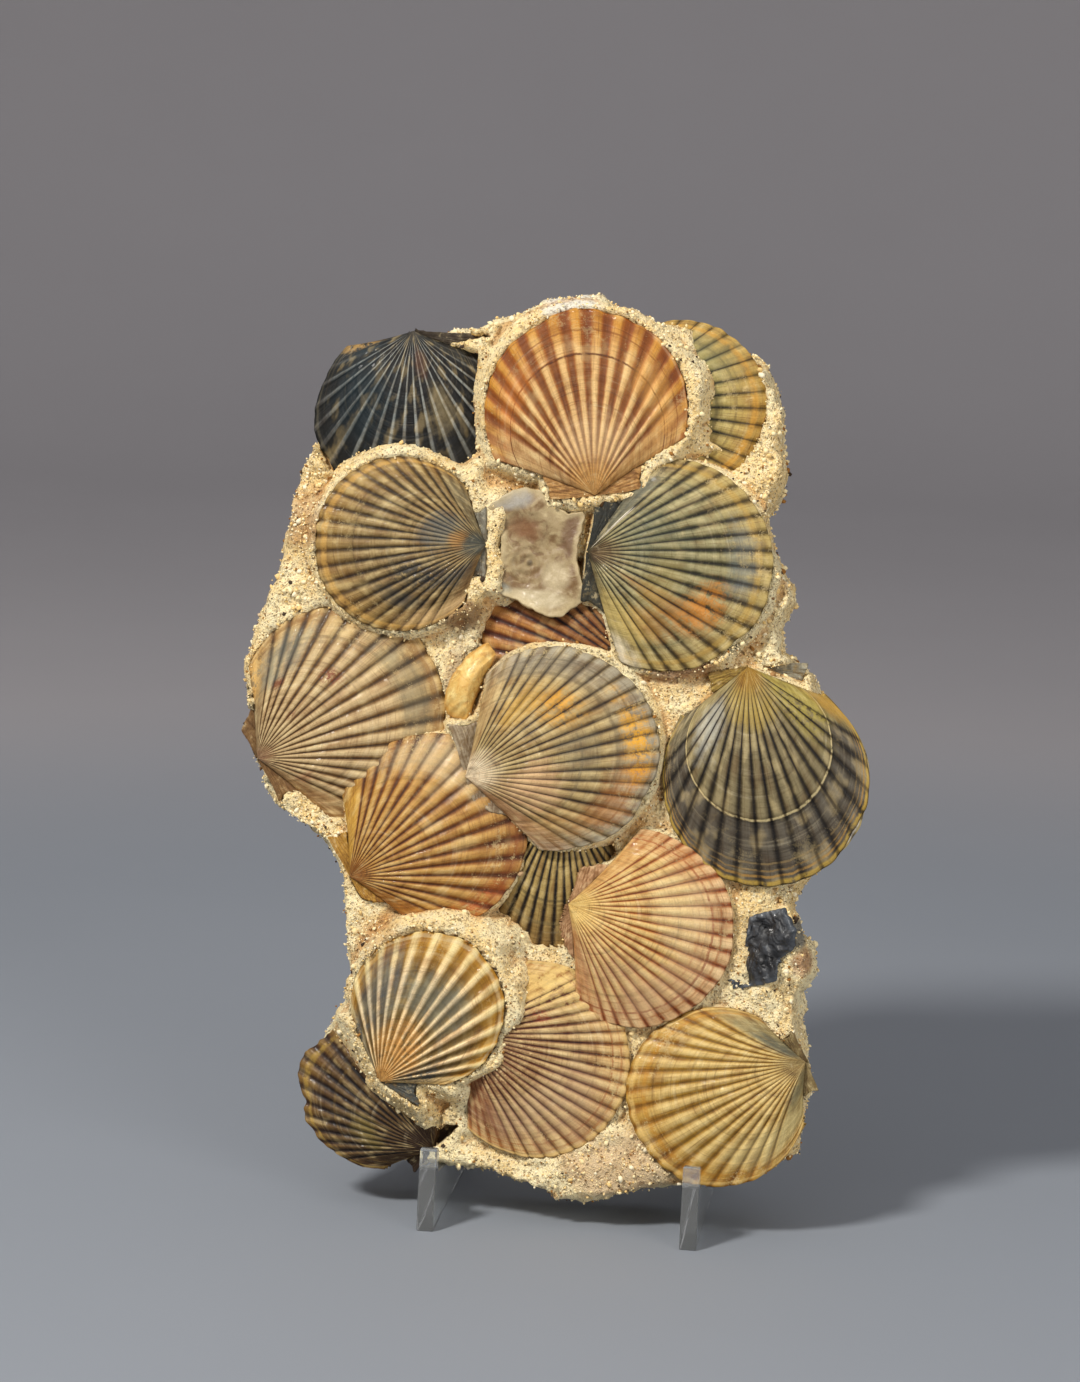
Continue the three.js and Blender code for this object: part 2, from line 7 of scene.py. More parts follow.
import bmesh
import bpy
import numpy as np
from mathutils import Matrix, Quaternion, Vector


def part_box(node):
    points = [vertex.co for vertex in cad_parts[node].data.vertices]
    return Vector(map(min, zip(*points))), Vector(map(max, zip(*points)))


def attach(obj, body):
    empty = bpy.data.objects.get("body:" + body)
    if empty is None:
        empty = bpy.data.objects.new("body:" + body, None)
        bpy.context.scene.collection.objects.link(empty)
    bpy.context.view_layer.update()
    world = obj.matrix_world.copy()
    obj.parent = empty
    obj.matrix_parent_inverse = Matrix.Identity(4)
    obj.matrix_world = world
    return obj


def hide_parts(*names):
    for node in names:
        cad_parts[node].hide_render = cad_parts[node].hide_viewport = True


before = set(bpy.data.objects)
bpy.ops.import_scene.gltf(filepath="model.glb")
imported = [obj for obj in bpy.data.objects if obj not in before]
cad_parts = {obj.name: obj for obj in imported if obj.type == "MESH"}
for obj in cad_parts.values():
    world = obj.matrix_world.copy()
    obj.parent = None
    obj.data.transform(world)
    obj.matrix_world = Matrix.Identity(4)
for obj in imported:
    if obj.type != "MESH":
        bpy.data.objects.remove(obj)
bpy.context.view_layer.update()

print("solids:", len(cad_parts))

# %% [markdown]
# ## The slab's own axes
# Shells are easiest to place on the face of the slab: x to the right, y up the face and z out of
# it, in millimetres. The slab sits in the easel turned by a few degrees in its own plane, because
# its broken foot isn't level, and the easel leans it back by ten degrees. Two small turns and a
# shift take any array of such places to the frame in metres. The left leg's box gives the shift.

# %% From the slab's face to the frame
MM = 1000
LEAN = np.radians(10)
SLAB_TURN = np.radians(3.4)
TURN_CENTRE = np.array([1.8, 11.6, 0])
LEG_X = (-45.5, 53.5)
SEAT = 11.6
FOOT_FRONT = -14.3
SLAB_ZERO_HEIGHT = 9
leg_low, leg_high = np.array(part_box("easel_leg_left")) * MM
EASEL_ORIGIN = np.array([
    (leg_low[0] + leg_high[0]) / 2 - LEG_X[0], leg_low[1] - FOOT_FRONT, SLAB_ZERO_HEIGHT])
EASEL_AXES = np.array([
    [1, 0, 0],
    [0, np.sin(LEAN), np.cos(LEAN)],
    [0, -np.cos(LEAN), np.sin(LEAN)],
])
TURN_AXES = np.array([
    [np.cos(SLAB_TURN), np.sin(SLAB_TURN), 0],
    [-np.sin(SLAB_TURN), np.cos(SLAB_TURN), 0],
    [0, 0, 1],
])


def to_easel(points):
    """Turns points of the slab about the middle of the seats: x times the first turned axis
    plus y times the second plus z times the third."""
    return (np.asarray(points, float) - TURN_CENTRE) @ TURN_AXES + TURN_CENTRE


def from_easel(points):
    """The same turn the other way round."""
    return (points - TURN_CENTRE) @ TURN_AXES.T + TURN_CENTRE


def to_frame(points):
    """After the turn, each point is x times the first axis of the easel plus y times the second
    plus z times the third, shifted to the easel's place and taken to metres."""
    return (to_easel(points) @ EASEL_AXES + EASEL_ORIGIN) / MM


print("easel's place in mm:", EASEL_ORIGIN.round(2))

# %% [markdown]
# ## Noise for broken stone
# Rock has lumps of every size. Value noise gives them: random numbers sit on a lattice, and a
# smooth step blends the eight nearest. Adding the same noise again at half the size and half
# the strength, a few times, gives the look of a broken surface. It is worked out for all points
# together, and the lattice numbers come from a fixed sum, so each run gives the same stone.

# %% Lumps
AXIS_FACTORS = (374761393, 668265263, 1274126177)
SEED_FACTOR, SECOND_FACTOR = 974711, 1103515245
LOW_32_BITS, LOW_20_BITS = 0xFFFFFFFF, 0xFFFFF
OCTAVE_SHIFT = 31.7


def lattice_value(corner, seed):
    """A number from -1 to 1 for each whole-numbered corner, scrambled by large odd products."""
    mixed = seed * SEED_FACTOR
    for k, factor in enumerate(AXIS_FACTORS):
        mixed = mixed + corner[..., k].astype(np.int64) * factor
    mixed = mixed & LOW_32_BITS
    mixed = ((mixed ^ (mixed >> 13)) * SECOND_FACTOR) & LOW_32_BITS
    mixed = mixed ^ (mixed >> 16)
    return (mixed & LOW_20_BITS) / 2 ** 19 - 1


def lumps(points, size, seed, octaves=3):
    """Sum over octaves of half to the power k times the noise at size over two to the power k."""
    total = np.zeros(points.shape[:-1])
    for k in range(octaves):
        place = points * (2 ** k / size) + OCTAVE_SHIFT * k
        cell = np.floor(place)
        part = place - cell
        ease = part * part * (3 - 2 * part)
        for corner in range(8):
            step = np.array([corner & 1, corner >> 1 & 1, corner >> 2 & 1])
            weight = np.prod(np.where(step, ease, 1 - ease), axis=-1)
            total += weight * lattice_value(cell + step, seed + k) / 2 ** k
    return total


def ease_between(low, high, x):
    """Zero below low, one above high and a smooth S between: three s squared less two s cubed."""
    s = np.clip((x - low) / (high - low), 0, 1)
    return s * s * (3 - 2 * s)


print("lumps at three places:", lumps(np.eye(3) * 5, 10.0, 1).round(3))

# %% [markdown]
# ## Meshes from arrays
# A finished piece is a list of points, a list of faces and a few numbers per point that its
# finish will read. One helper puts them into a mesh, links it and ties it to the frame: it rides
# on the one body and takes the place of its solid.

# %% One helper for all pieces


def grid_faces(rows, columns, start=0, flip=False):
    """Quads of a grid stored row by row: each joins a point to its right and upper neighbours."""
    r, c = np.meshgrid(np.arange(rows - 1), np.arange(columns - 1), indexing="ij")
    a = start + r * columns + c
    quads = np.stack([a, a + 1, a + columns + 1, a + columns], axis=-1).reshape(-1, 4)
    return quads[:, ::-1] if flip else quads


def ring_faces(rows, columns):
    """Quads of a grid whose rows close on themselves, after the grid's own indices."""
    index = np.arange(rows * columns).reshape(rows, columns)
    ahead = np.roll(index, -1, axis=1)
    quads = np.stack([index[:-1], index[1:], ahead[1:], ahead[:-1]], axis=-1)
    return index, quads.reshape(-1, 4).tolist()


def link(name, data):
    """An object for a mesh, a lamp or a camera, put into the scene."""
    thing = bpy.data.objects.new(name, data)
    bpy.context.scene.collection.objects.link(thing)
    return thing


def make_piece(name, points, faces, numbers, node=None, wall=0):
    """A mesh object from points on the slab's face, with a solid wall behind it if asked."""
    mesh = bpy.data.meshes.new(name)
    mesh.from_pydata(to_frame(points).tolist(), [], [list(map(int, f)) for f in faces])
    mesh.shade_smooth()
    for key, values in numbers.items():
        layer = mesh.attributes.new(key, "FLOAT", "POINT")
        layer.data.foreach_set("value", np.asarray(values, np.float32))
    piece = link(name, mesh)
    if wall:
        solid = piece.modifiers.new("wall", "SOLIDIFY")
        solid.thickness = wall / MM
        solid.offset = -1
    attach(piece, "root")
    if node:
        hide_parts(node)
    return piece


# %% [markdown]
# ## Shader maths as plain expressions
# A finish is a net of nodes, which is slow to read as code. Here a value in the net is wrapped so
# that plus, minus, times and divide add the Math nodes, and any other node comes from one method.
# Then a mask for a ridge or a stain is one line of arithmetic, and a finish is a list of layers,
# each with its mask, its tint as six hex digits, and how it blends. In a mask, the two numbers
# of rise or fall are the values it comes in between, and the factor after them is its strength.

# %% Values


class Value:
    """One output in a finish. Arithmetic on it adds Math nodes."""

    def __init__(self, finish, socket):
        self.finish = finish
        self.socket = socket

    def maths(self, operation, *others):
        """A Math node on this value and any others."""
        return self.finish.node("ShaderNodeMath", {"operation": operation},
                                dict(enumerate((self, *others))))

    def __add__(self, other):
        return self.maths("ADD", other)

    __radd__ = __add__

    def __mul__(self, other):
        return self.maths("MULTIPLY", other)

    __rmul__ = __mul__

    def __sub__(self, other):
        return self.maths("SUBTRACT", other)

    def __rsub__(self, other):
        return self.finish.node("ShaderNodeMath", {"operation": "SUBTRACT"}, {0: other, 1: self})

    def __truediv__(self, other):
        return self.maths("DIVIDE", other)

    def __pow__(self, other):
        return self.maths("POWER", other)

    def rise(self, low, high):
        """Nought below low, one above high, with a smooth step between."""
        return self.finish.node(
            "ShaderNodeMapRange", {"interpolation_type": "SMOOTHSTEP"},
            {0: self, 1: low, 2: high, 3: 0.0, 4: 1.0})

    def fall(self, low, high):
        """One below low, nought above high: one less the rise."""
        return 1.0 - self.rise(low, high)

    def sway(self, amount):
        """A value about a half, made to swing about nought: less a half, times the amount."""
        return (self - 0.5) * amount


def tint(code):
    """A colour from six hex digits, as the linear red, green, blue and alpha that shaders use."""
    parts = np.array([int(code[k:k + 2], 16) / 255 for k in (0, 2, 4)])
    linear = np.where(parts <= 0.04045, parts / 12.92, ((parts + 0.055) / 1.055) ** 2.4)
    return (*linear.tolist(), 1.0)


print("mid grey:", tint("808080"))

# %% Finishes


class Finish:
    """A material under construction: its node tree and the shader at its end."""

    def __init__(self, name):
        self.material = bpy.data.materials.new(name)
        self.material.use_nodes = True
        self.tree = self.material.node_tree
        self.shader = self.tree.nodes["Principled BSDF"]

    def feed(self, socket, value):
        """Links a value to a socket, or sets a plain number or colour on it."""
        if isinstance(value, Value):
            self.tree.links.new(value.socket, socket)
        else:
            socket.default_value = value

    def node(self, kind, settings=None, inputs=None, output=0):
        """Adds a node: its settings first, then the value or link of each socket."""
        made = self.tree.nodes.new(kind)
        for key, value in (settings or {}).items():
            setattr(made, key, value)
        for key, value in (inputs or {}).items():
            self.feed(made.inputs[key], value)
        return Value(self, made.outputs[output])

    def number(self, name):
        """A number that the piece carries at each of its points."""
        return self.node("ShaderNodeAttribute", {"attribute_name": name}, output="Fac")

    def place(self):
        """The point's place in the frame, in metres."""
        return self.node("ShaderNodeTexCoord", output="Object")

    def parts(self, vector):
        """The three numbers of a vector, or of a colour."""
        split = self.node("ShaderNodeSeparateXYZ", inputs={0: vector}).socket.node
        return [Value(self, socket) for socket in split.outputs]

    def noise(self, vector, scale, detail=3.0, roughness=0.55, distortion=0.0):
        """Soft clouds from 0 to 1. The scale is how many lie along a metre."""
        return self.node("ShaderNodeTexNoise", {}, {
            "Vector": vector, "Scale": scale, "Detail": detail, "Roughness": roughness,
            "Distortion": distortion}, "Fac")

    def pattern(self, x, y, seed, detail, roughness=0.55):
        """Noise laid on two numbers of the piece's own, different for each seed."""
        vector = self.node("ShaderNodeCombineXYZ", inputs={0: x, 1: y, 2: seed})
        return self.noise(vector, 1.0, detail, roughness)

    def cells(self, vector, scale, output):
        """Cells like packed grains: the distance from a grain's middle, or a colour for each."""
        inputs = {"Vector": vector, "Scale": scale}
        return self.node("ShaderNodeTexVoronoi", {}, inputs, output)

    def mix(self, mask, under, over, blend="MIX"):
        """Lays one colour over another where the mask is one. Six hex digits count as a tint."""
        settings = {"data_type": "RGBA", "blend_type": blend, "clamp_factor": True}
        under, over = (tint(c) if isinstance(c, str) else c for c in (under, over))
        return self.node("ShaderNodeMix", settings, {0: mask, 6: under, 7: over}, 2)

    def layers(self, colour, rows):
        """Lays one row after another over a colour: its mask, its tint and how it blends."""
        for mask, code, *blend in rows:
            colour = self.mix(mask, colour, code, *blend)
        return colour

    def finish(self, colour, roughness, height=None, depth=0.0, strength=0.0, **plain):
        """Feeds the shader, with a Bump node for the height if there is one."""
        targets = {"Base Color": colour, "Roughness": roughness, **plain}
        if height is not None:
            targets["Normal"] = self.node(
                "ShaderNodeBump", {}, {"Strength": strength, "Distance": depth, "Height": height})
        for key, value in targets.items():
            self.feed(self.shader.inputs[key], value)
        return self.material


# %% [markdown]
# ## The shape of a valve
# A scallop's valve is a fan. Every point of it is given by two numbers: across, from one
# straight shoulder to the other, and along, from the beak to the margin. The fan opens as it
# grows, which hollows the shoulders. The margin is nearly a circle, the valve arches over, and
# the ribs are a cosine wave across the fan. One formula for all makes every valve, so only its
# size, arch and rib count change, and the shell can be any size without losing its smoothness.

# %% The fan
WIDEST_VIEW = 0.97
WIDENING_POWER = 0.8


def margin_circle(valve):
    """The margin is part of a circle: its radius, and how far its middle is from the beak."""
    radius = valve["width"] / 2
    return radius, valve["length"] - radius


def margin_half_angle(valve):
    """The half angle of the fan, or less where the margin's circle looks narrower than that."""
    radius, offset = margin_circle(valve)
    widest = WIDEST_VIEW * radius / offset
    return min(np.radians(valve["half"][1]), np.arcsin(min(1, widest)))


def margin_reach(valve, angle):
    """Beak to margin along a ray: c cos a plus the root of r squared less c sin a squared."""
    radius, offset = margin_circle(valve)
    return offset * np.cos(angle) + np.sqrt(radius ** 2 - (offset * np.sin(angle)) ** 2)


def shoulder_angle(valve, along):
    """The fan's half angle: from the beak's to the margin's as along grows, to the power 0.8."""
    at_beak = np.radians(valve["half"][0])
    widening = margin_half_angle(valve) - at_beak
    return at_beak + widening * np.clip(along, 0, 1) ** WIDENING_POWER


def fan_point(valve, across, along):
    """Angle is across times the fan's half angle there. Reach is along times the margin's
    reach. The place is reach times sine and cosine of the angle."""
    angle = across * shoulder_angle(valve, along)
    reach = margin_reach(valve, across * margin_half_angle(valve)) * along
    return reach * np.sin(angle), reach * np.cos(angle)


# %% Arch and ribs
ARCH_LEAN = 0.72
SIDE_POWER, SIDE_ROUNDING = 2.6, 0.75
RIB_RELIEF = 1.7
RIB_WANDER, WANDERS_ACROSS = 0.16, 3.1


def arch_height(valve, across, along):
    """The arch: a half sine of along to the power 0.72, times one less across to the power 2.6,
    which is rounded by the power 0.75."""
    from_beak = np.sin(np.pi * np.clip(along, 0, 1) ** ARCH_LEAN)
    sideways = np.clip(1 - np.abs(across) ** SIDE_POWER, 0, 1) ** SIDE_ROUNDING
    return valve["dome"] * from_beak * sideways


def rib_phase(valve, across, seed):
    """Ribs counted from the first groove. They fill the fan's ribbed span and wander a little."""
    place = np.stack([across * WANDERS_ACROSS, 0 * across, 0 * across + seed], -1)
    wander = RIB_WANDER * lumps(place, 1.0, seed=29, octaves=2)
    return valve["ribs"] * (across / valve["span"] + 1) / 2 + wander


def rib_wave(valve, phase):
    """From 0 in a groove to 1 on a ridge: half of one less the cosine, to a power that makes
    the ridges narrow or wide."""
    return ((1 - np.cos(2 * np.pi * phase)) / 2) ** valve["sharp"]


def valve_turn(valve):
    """The valve's axes on the slab: roll about its length, pitch about its width, then facing."""
    pitch, roll = np.radians(valve["pitch"]), np.radians(valve["roll"])
    facing = np.radians(valve["facing"] - 90)
    about_z = np.array([[np.cos(facing), -np.sin(facing), 0], [np.sin(facing), np.cos(facing), 0],
                        [0, 0, 1]])
    about_x = np.array([[1, 0, 0], [0, np.cos(pitch), -np.sin(pitch)],
                        [0, np.sin(pitch), np.cos(pitch)]])
    about_y = np.array([[np.cos(roll), 0, np.sin(roll)], [0, 1, 0],
                        [-np.sin(roll), 0, np.cos(roll)]])
    return about_z @ about_x @ about_y


def on_slab(valve, points):
    """The valve's own points turned by its axes and moved to its beak's place."""
    return points @ valve_turn(valve).T + np.array(valve["beak"], float)


# %% [markdown]
# ## The valves of this plate
# Each entry says where a valve lies and how it looks. Places are beak positions on the slab and
# the way the fan faces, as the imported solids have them. The eight tints are a ridge and a groove
# in the middle of the fan, a ridge and a groove near the margin, the beak, the ears, and the
# left and right smooth flanks. Bands are growth lines: where they lie along the shell, half
# their width, a tint and a strength. Patches are stains, given by their middle and their size
# across and along. A rim is the sandy ledge that a raised valve sits on, by width and heading.

# %% What a valve's entry holds
VALVES = {}
TINTS = ("ridge", "groove", "margin_ridge", "margin_groove", "beak_tint", "ear_tint",
         "left_flank", "right_flank")
# Half is the fan's half angle at beak and margin, and span is the share of it with ribs on.
# A higher sharp makes the ridges narrower, relief makes the ribs higher, line sets the painted
# shade in the grooves, umbo spreads the beak's tint, dust is sand near the margin, and ragged its
# chips.
# From zone on, a valve has its margin's tints, and the shell drops there by step, in mm.
USUAL = dict(pitch=0, roll=0, ears=(0, 0), half=(60, 66), rim=(0.0, 0.0), span=0.8, sharp=0.7,
             relief=0.8, line=0.8, umbo=0.2, dust=0.2, ragged=1.0, zone=None, step=0,
             streaks=(), bands=(), patches=())


def valve(place, beak, facing, length, width, dome, ribs, tints, **look):
    """Adds a valve: the usual look, its size and its tints, with what the entry changes."""
    name = "scallop_" + place
    size = dict(name=name, beak=beak, facing=facing, length=length, width=width, dome=dome,
                ribs=ribs)
    VALVES[name] = USUAL | size | dict(zip(TINTS, tints.split())) | look


# %% The uppermost valves
valve("orange_top", (17.5, 267.5, 5), 96, 70, 77, 5, 13, pitch=3, ears=(17, 17), half=(61, 64),
      rim=(4.5, -15), span=0.74, sharp=1.5, relief=0.9, line=0.3, umbo=0.24, dust=0.1,
      tints="d7af72 955720 c28831 934e0d ca9855 b4884e c4a06c c09458",
      bands=[(0.76, 0.006, "5c2c0c", 0.9), (0.89, 0.005, "7a4210", 0.6),
             (0.5, 0.004, "8a5424", 0.4)],
      patches=[(0.1, 0.32, 0.7, 0.16, "e8c490", 0.6), (-0.55, 0.8, 0.3, 0.1, "c8752a", 0.5),
               (0.6, 0.75, 0.3, 0.14, "e0a44e", 0.5)])
valve("small_bottom_left", (-64.5, 47, 6), 57, 63, 59, 5, 14, pitch=3, roll=-3, ears=(0, 17),
      rim=(6.0, 15), span=0.86, sharp=1.8, relief=1.25, line=0.25, umbo=0.16, dust=0.1,
      tints="f5d8a4 82672f ddc585 b88318 dfa758 3c464a 807a64 debb7a",
      bands=[(0.5, 0.02, "8c8c78", 0.2), (0.97, 0.014, "e8d8ac", 0.35)],
      patches=[(-0.55, 0.66, 0.3, 0.3, "56707a", 0.5), (0.1, 0.62, 0.35, 0.16, "6f7c72", 0.55),
               (0.0, 0.26, 0.8, 0.16, "dca050", 0.75), (0.8, 0.4, 0.22, 0.3, "2f4048", 0.8),
               (-0.95, 0.7, 0.12, 0.14, "2a3e4c", 0.85)])
valve("grey_gold_centre", (-32, 162, 5), 17, 75, 77, 12, 20, ears=(20, 9), half=(58, 61),
      rim=(1.0, 100), sharp=0.55, relief=0.7, line=0.75, dust=0.15,
      tints="b19966 543f20 a19881 726141 fbe8c4 a0927a bd9f6c c79b6f",
      bands=[(0.8, 0.012, "5a4c34", 0.45), (0.62, 0.008, "6a5a3c", 0.4),
             (0.9, 0.006, "54462e", 0.5)],
      patches=[(-0.3, 0.62, 0.22, 0.12, "e0a022", 0.75), (0.1, 0.9, 0.3, 0.08, "e8a820", 0.9),
               (0.45, 0.86, 0.3, 0.12, "b8702c", 0.5), (0.5, 0.4, 0.4, 0.2, "dcb084", 0.6),
               (-0.55, 0.55, 0.14, 0.2, "d0a23c", 0.5), (-0.6, 0.86, 0.3, 0.08, "6e6656", 0.6),
               (0.1, 0.6, 0.3, 0.12, "6e6a58", 0.5), (0.72, 0.75, 0.2, 0.2, "c89a5c", 0.5)])
valve("grey_green_right", (14.5, 246.5, 3), -10, 70, 80, 8, 17, pitch=1, ears=(20, 18),
      half=(66, 64), rim=(1.5, -50), relief=0.7, line=0.75, umbo=0.14, dust=0.15,
      streaks=[(-0.8, 0.025, 0.03, 0.5, "f4ecd8", 0.95)],
      tints="999168 3c3b22 b39d5f 6a5726 262114 262a28 69695a 887d56",
      bands=[(0.93, 0.02, "b89444", 0.5), (0.8, 0.008, "5c5a3c", 0.4)],
      patches=[(0.3, 0.72, 0.24, 0.14, "d0862c", 0.8), (0.62, 0.62, 0.2, 0.16, "b07c34", 0.6),
               (-0.1, 0.86, 0.25, 0.1, "6e7c80", 0.55), (0.85, 0.55, 0.2, 0.3, "cdb468", 0.7),
               (0.0, 0.1, 0.8, 0.1, "6a4a2c", 0.5), (0.35, 0.5, 0.1, 0.3, "a8702c", 0.6),
               (-0.3, 0.4, 0.5, 0.2, "565e4c", 0.5), (0.2, 0.45, 0.4, 0.12, "a08a44", 0.4),
               (0.95, 0.9, 0.1, 0.2, "e8dcc0", 0.7)])
valve("yellow_blue_left", (-24, 249.5, 4), 179, 65.5, 66, 8, 21, ears=(13, 14), half=(66, 70),
      rim=(4.5, 25), sharp=0.75, relief=0.7, line=0.65, umbo=0.16, dust=0.15,
      tints="978054 4b3916 9d7f46 6b4e1d 4e5652 8c8a7c 8f7045 786d50",
      bands=[(0.55, 0.014, "76643c", 0.4), (0.95, 0.02, "c89c50", 0.6),
             (0.78, 0.01, "7c683c", 0.35)],
      patches=[(-0.42, 0.45, 0.3, 0.18, "1c242a", 0.9), (-0.5, 0.7, 0.2, 0.08, "2c3438", 0.7),
               (0.3, 0.28, 0.5, 0.12, "5c6464", 0.7), (-0.85, 0.85, 0.25, 0.14, "e0bc84", 0.7),
               (0.15, 0.16, 0.35, 0.05, "c08840", 0.6), (-0.75, 0.4, 0.2, 0.2, "343c40", 0.7)])
valve("cream_lower_right", (6.5, 114, 1), -20, 64, 75, 10, 19, ears=(14, 7), sharp=0.55, line=0.55,
      umbo=0.22, dust=0.15,
      tints="d7b471 a45912 dcb684 944b1b ecca7a c09870 cd9f5e ba8654",
      bands=[(0.88, 0.008, "8a3c18", 0.75), (0.8, 0.006, "a05828", 0.4),
             (0.93, 0.006, "a4602c", 0.5)],
      patches=[(0.6, 0.6, 0.4, 0.34, "c09c78", 0.5), (0.2, 0.8, 0.5, 0.12, "c8a47c", 0.4),
               (-0.75, 0.88, 0.35, 0.12, "b87434", 0.4), (-0.3, 0.7, 0.35, 0.2, "e2cc9c", 0.5)])
print("valves so far:", len(VALVES))

# %% Valves set in the rock's face
valve("ochre_left", (-77, 124, 0), 29, 73.5, 74, 7, 17, pitch=2, ears=(17, 9), sharp=0.8,
      line=0.55, umbo=0.14,
      tints="bf934d 814a0d b38545 5e300d 9a6125 b88c3a cd9f42 ad712a",
      bands=[(0.94, 0.01, "7a4418", 0.6), (0.84, 0.008, "80501f", 0.4)],
      patches=[(0.76, 0.9, 0.3, 0.12, "b8541a", 0.75), (-0.35, 0.85, 0.35, 0.16, "dcc698", 0.6),
               (0.3, 0.93, 0.3, 0.05, "8a4a1c", 0.5)])
valve("dark_stepped_right", (74.5, 203, 0), -82, 82.5, 78, 12, 16, ears=(0, 15), sharp=0.75,
      relief=1.0, line=0.85, umbo=0.15, dust=0.06, zone=0.7, step=1.6,
      tints="847857 40361f 5c5548 332c22 a67e2b a88c40 b09f4f a4976a",
      bands=[(0.7, 0.006, "ecd8a0", 1.0), (0.9, 0.005, "8a744c", 0.6),
             (0.955, 0.006, "ac8440", 0.7), (0.93, 0.004, "9c7c44", 0.5),
             (0.8, 0.004, "847a64", 0.4), (0.985, 0.012, "b89840", 0.8)],
      patches=[(-0.75, 0.42, 0.25, 0.3, "b0a04c", 0.75), (0.66, 0.45, 0.22, 0.18, "c8c8bc", 0.6),
               (0.0, 0.2, 0.7, 0.1, "bca048", 0.6), (-0.95, 0.9, 0.1, 0.3, "b88e38", 0.7)])
valve("pink_bottom", (-35, 65.5, -1.5), -20, 67, 74, 8, 19, pitch=1, rim=(1.5, 20), span=0.68,
      sharp=0.6, line=0.7, umbo=0.3,
      tints="c7a975 622c0d d4b075 956229 54240f 7a4428 c29950 8d5837",
      bands=[(0.9, 0.006, "94501f", 0.6), (0.95, 0.006, "a4642c", 0.5),
             (0.985, 0.015, "dcbc74", 0.5)],
      patches=[(0.35, 0.72, 0.5, 0.24, "bc9878", 0.45), (-0.7, 0.8, 0.3, 0.25, "e6c87c", 0.75),
               (0.35, 0.34, 0.9, 0.2, "642c14", 0.75), (-0.5, 0.55, 0.08, 0.06, "8a2c12", 0.9)])
valve("yellow_bottom_right", (95.5, 55, -1), 202, 70, 68, 9, 16, pitch=1, ears=(11, 12), span=0.74,
      sharp=0.8, line=0.45, umbo=0.16,
      tints="d5b874 a67d25 bc9240 a26e1c a08a58 8c7a50 b8a468 8c8460",
      bands=[(0.9, 0.014, "bc8428", 0.5), (0.6, 0.008, "8f7434", 0.4),
             (0.97, 0.014, "e4c074", 0.6)],
      patches=[(0.85, 0.32, 0.2, 0.26, "48524e", 0.7), (-0.7, 0.7, 0.3, 0.2, "ecd898", 0.5),
               (-0.9, 0.26, 0.25, 0.2, "4c564c", 0.65)])
valve("grey_left", (-113.5, 169, -5), 28, 78, 81, 9, 17, pitch=2, ears=(12, 19), half=(63, 67),
      line=0.65, umbo=0.1, dust=0.15,
      tints="c5ab7d 745221 c4a56c 6d4e23 9d7655 86663e a08860 b58f5d",
      bands=[(0.955, 0.02, "8a6436", 0.6), (0.8, 0.01, "7a6844", 0.35)],
      patches=[(-0.72, 0.72, 0.22, 0.2, "667068", 0.65), (-0.66, 0.52, 0.06, 0.04, "6c2c12", 0.9),
               (-0.27, 0.58, 0.08, 0.05, "74260e", 0.95), (-0.3, 0.3, 0.06, 0.04, "6e2c12", 0.8),
               (0.75, 0.4, 0.14, 0.06, "84502c", 0.7), (-0.95, 0.85, 0.12, 0.3, "e0b468", 0.8),
               (0.1, 0.86, 0.5, 0.09, "74705a", 0.6)])
valve("dark_top_left", (-53, 331.5, -7), -94, 69, 72, 8, 17, ears=(30, 0), half=(68, 74),
      sharp=5.0, line=0.3, umbo=0.08, dust=0.0, ragged=1.8,
      tints="818581 0d0d0d 3d3d3c 0e100d 44403a 50483c 2c2b25 131718",
      bands=[(0.6, 0.01, "20262a", 0.5), (0.97, 0.012, "5c5644", 0.5)],
      patches=[(0.5, 0.55, 0.5, 0.3, "16303a", 0.6), (-0.35, 0.5, 0.14, 0.16, "c0ac7c", 0.4),
               (-0.3, 0.2, 0.2, 0.1, "744c30", 0.6), (0.97, 0.75, 0.05, 0.4, "b08c50", 0.85),
               (0.0, 0.8, 1.0, 0.2, "101416", 0.4)])
print("valves so far:", len(VALVES))

# %% Valves half hidden
valve("striped_top_right", (19, 301, -7), 2, 62.5, 64, 7, 17, sharp=0.5, relief=0.5,
      tints="ad9d5d 3f3b1d b99951 81672c 8a8460 8a8460 958243 958243",
      bands=[(0.93, 0.02, "c8963c", 0.65), (0.7, 0.012, "605838", 0.5),
             (0.82, 0.008, "6c5c34", 0.4)],
      patches=[(-0.4, 0.75, 0.4, 0.2, "7c7a54", 0.55)])
valve("brown_centre", (37, 199, -8), 158, 67.5, 64, 8, 18, sharp=0.75,
      tints="a8743c 54240f b07c40 6a3418 5c2414 6a3420 8a4c24 8a4c24",
      bands=[(0.8, 0.015, "74401f", 0.5)],
      patches=[(0.5, 0.45, 0.6, 0.3, "4a2010", 0.6)])
valve("striped_centre", (5, 155, -7), -101, 58, 54, 8, 18, dust=0.1,
      tints="ac9459 26190d 896e3e 412d0d 5a5238 5a5238 66552c 66552c",
      bands=[(0.85, 0.014, "6d5f3a", 0.5), (0.7, 0.01, "2c2614", 0.5)])
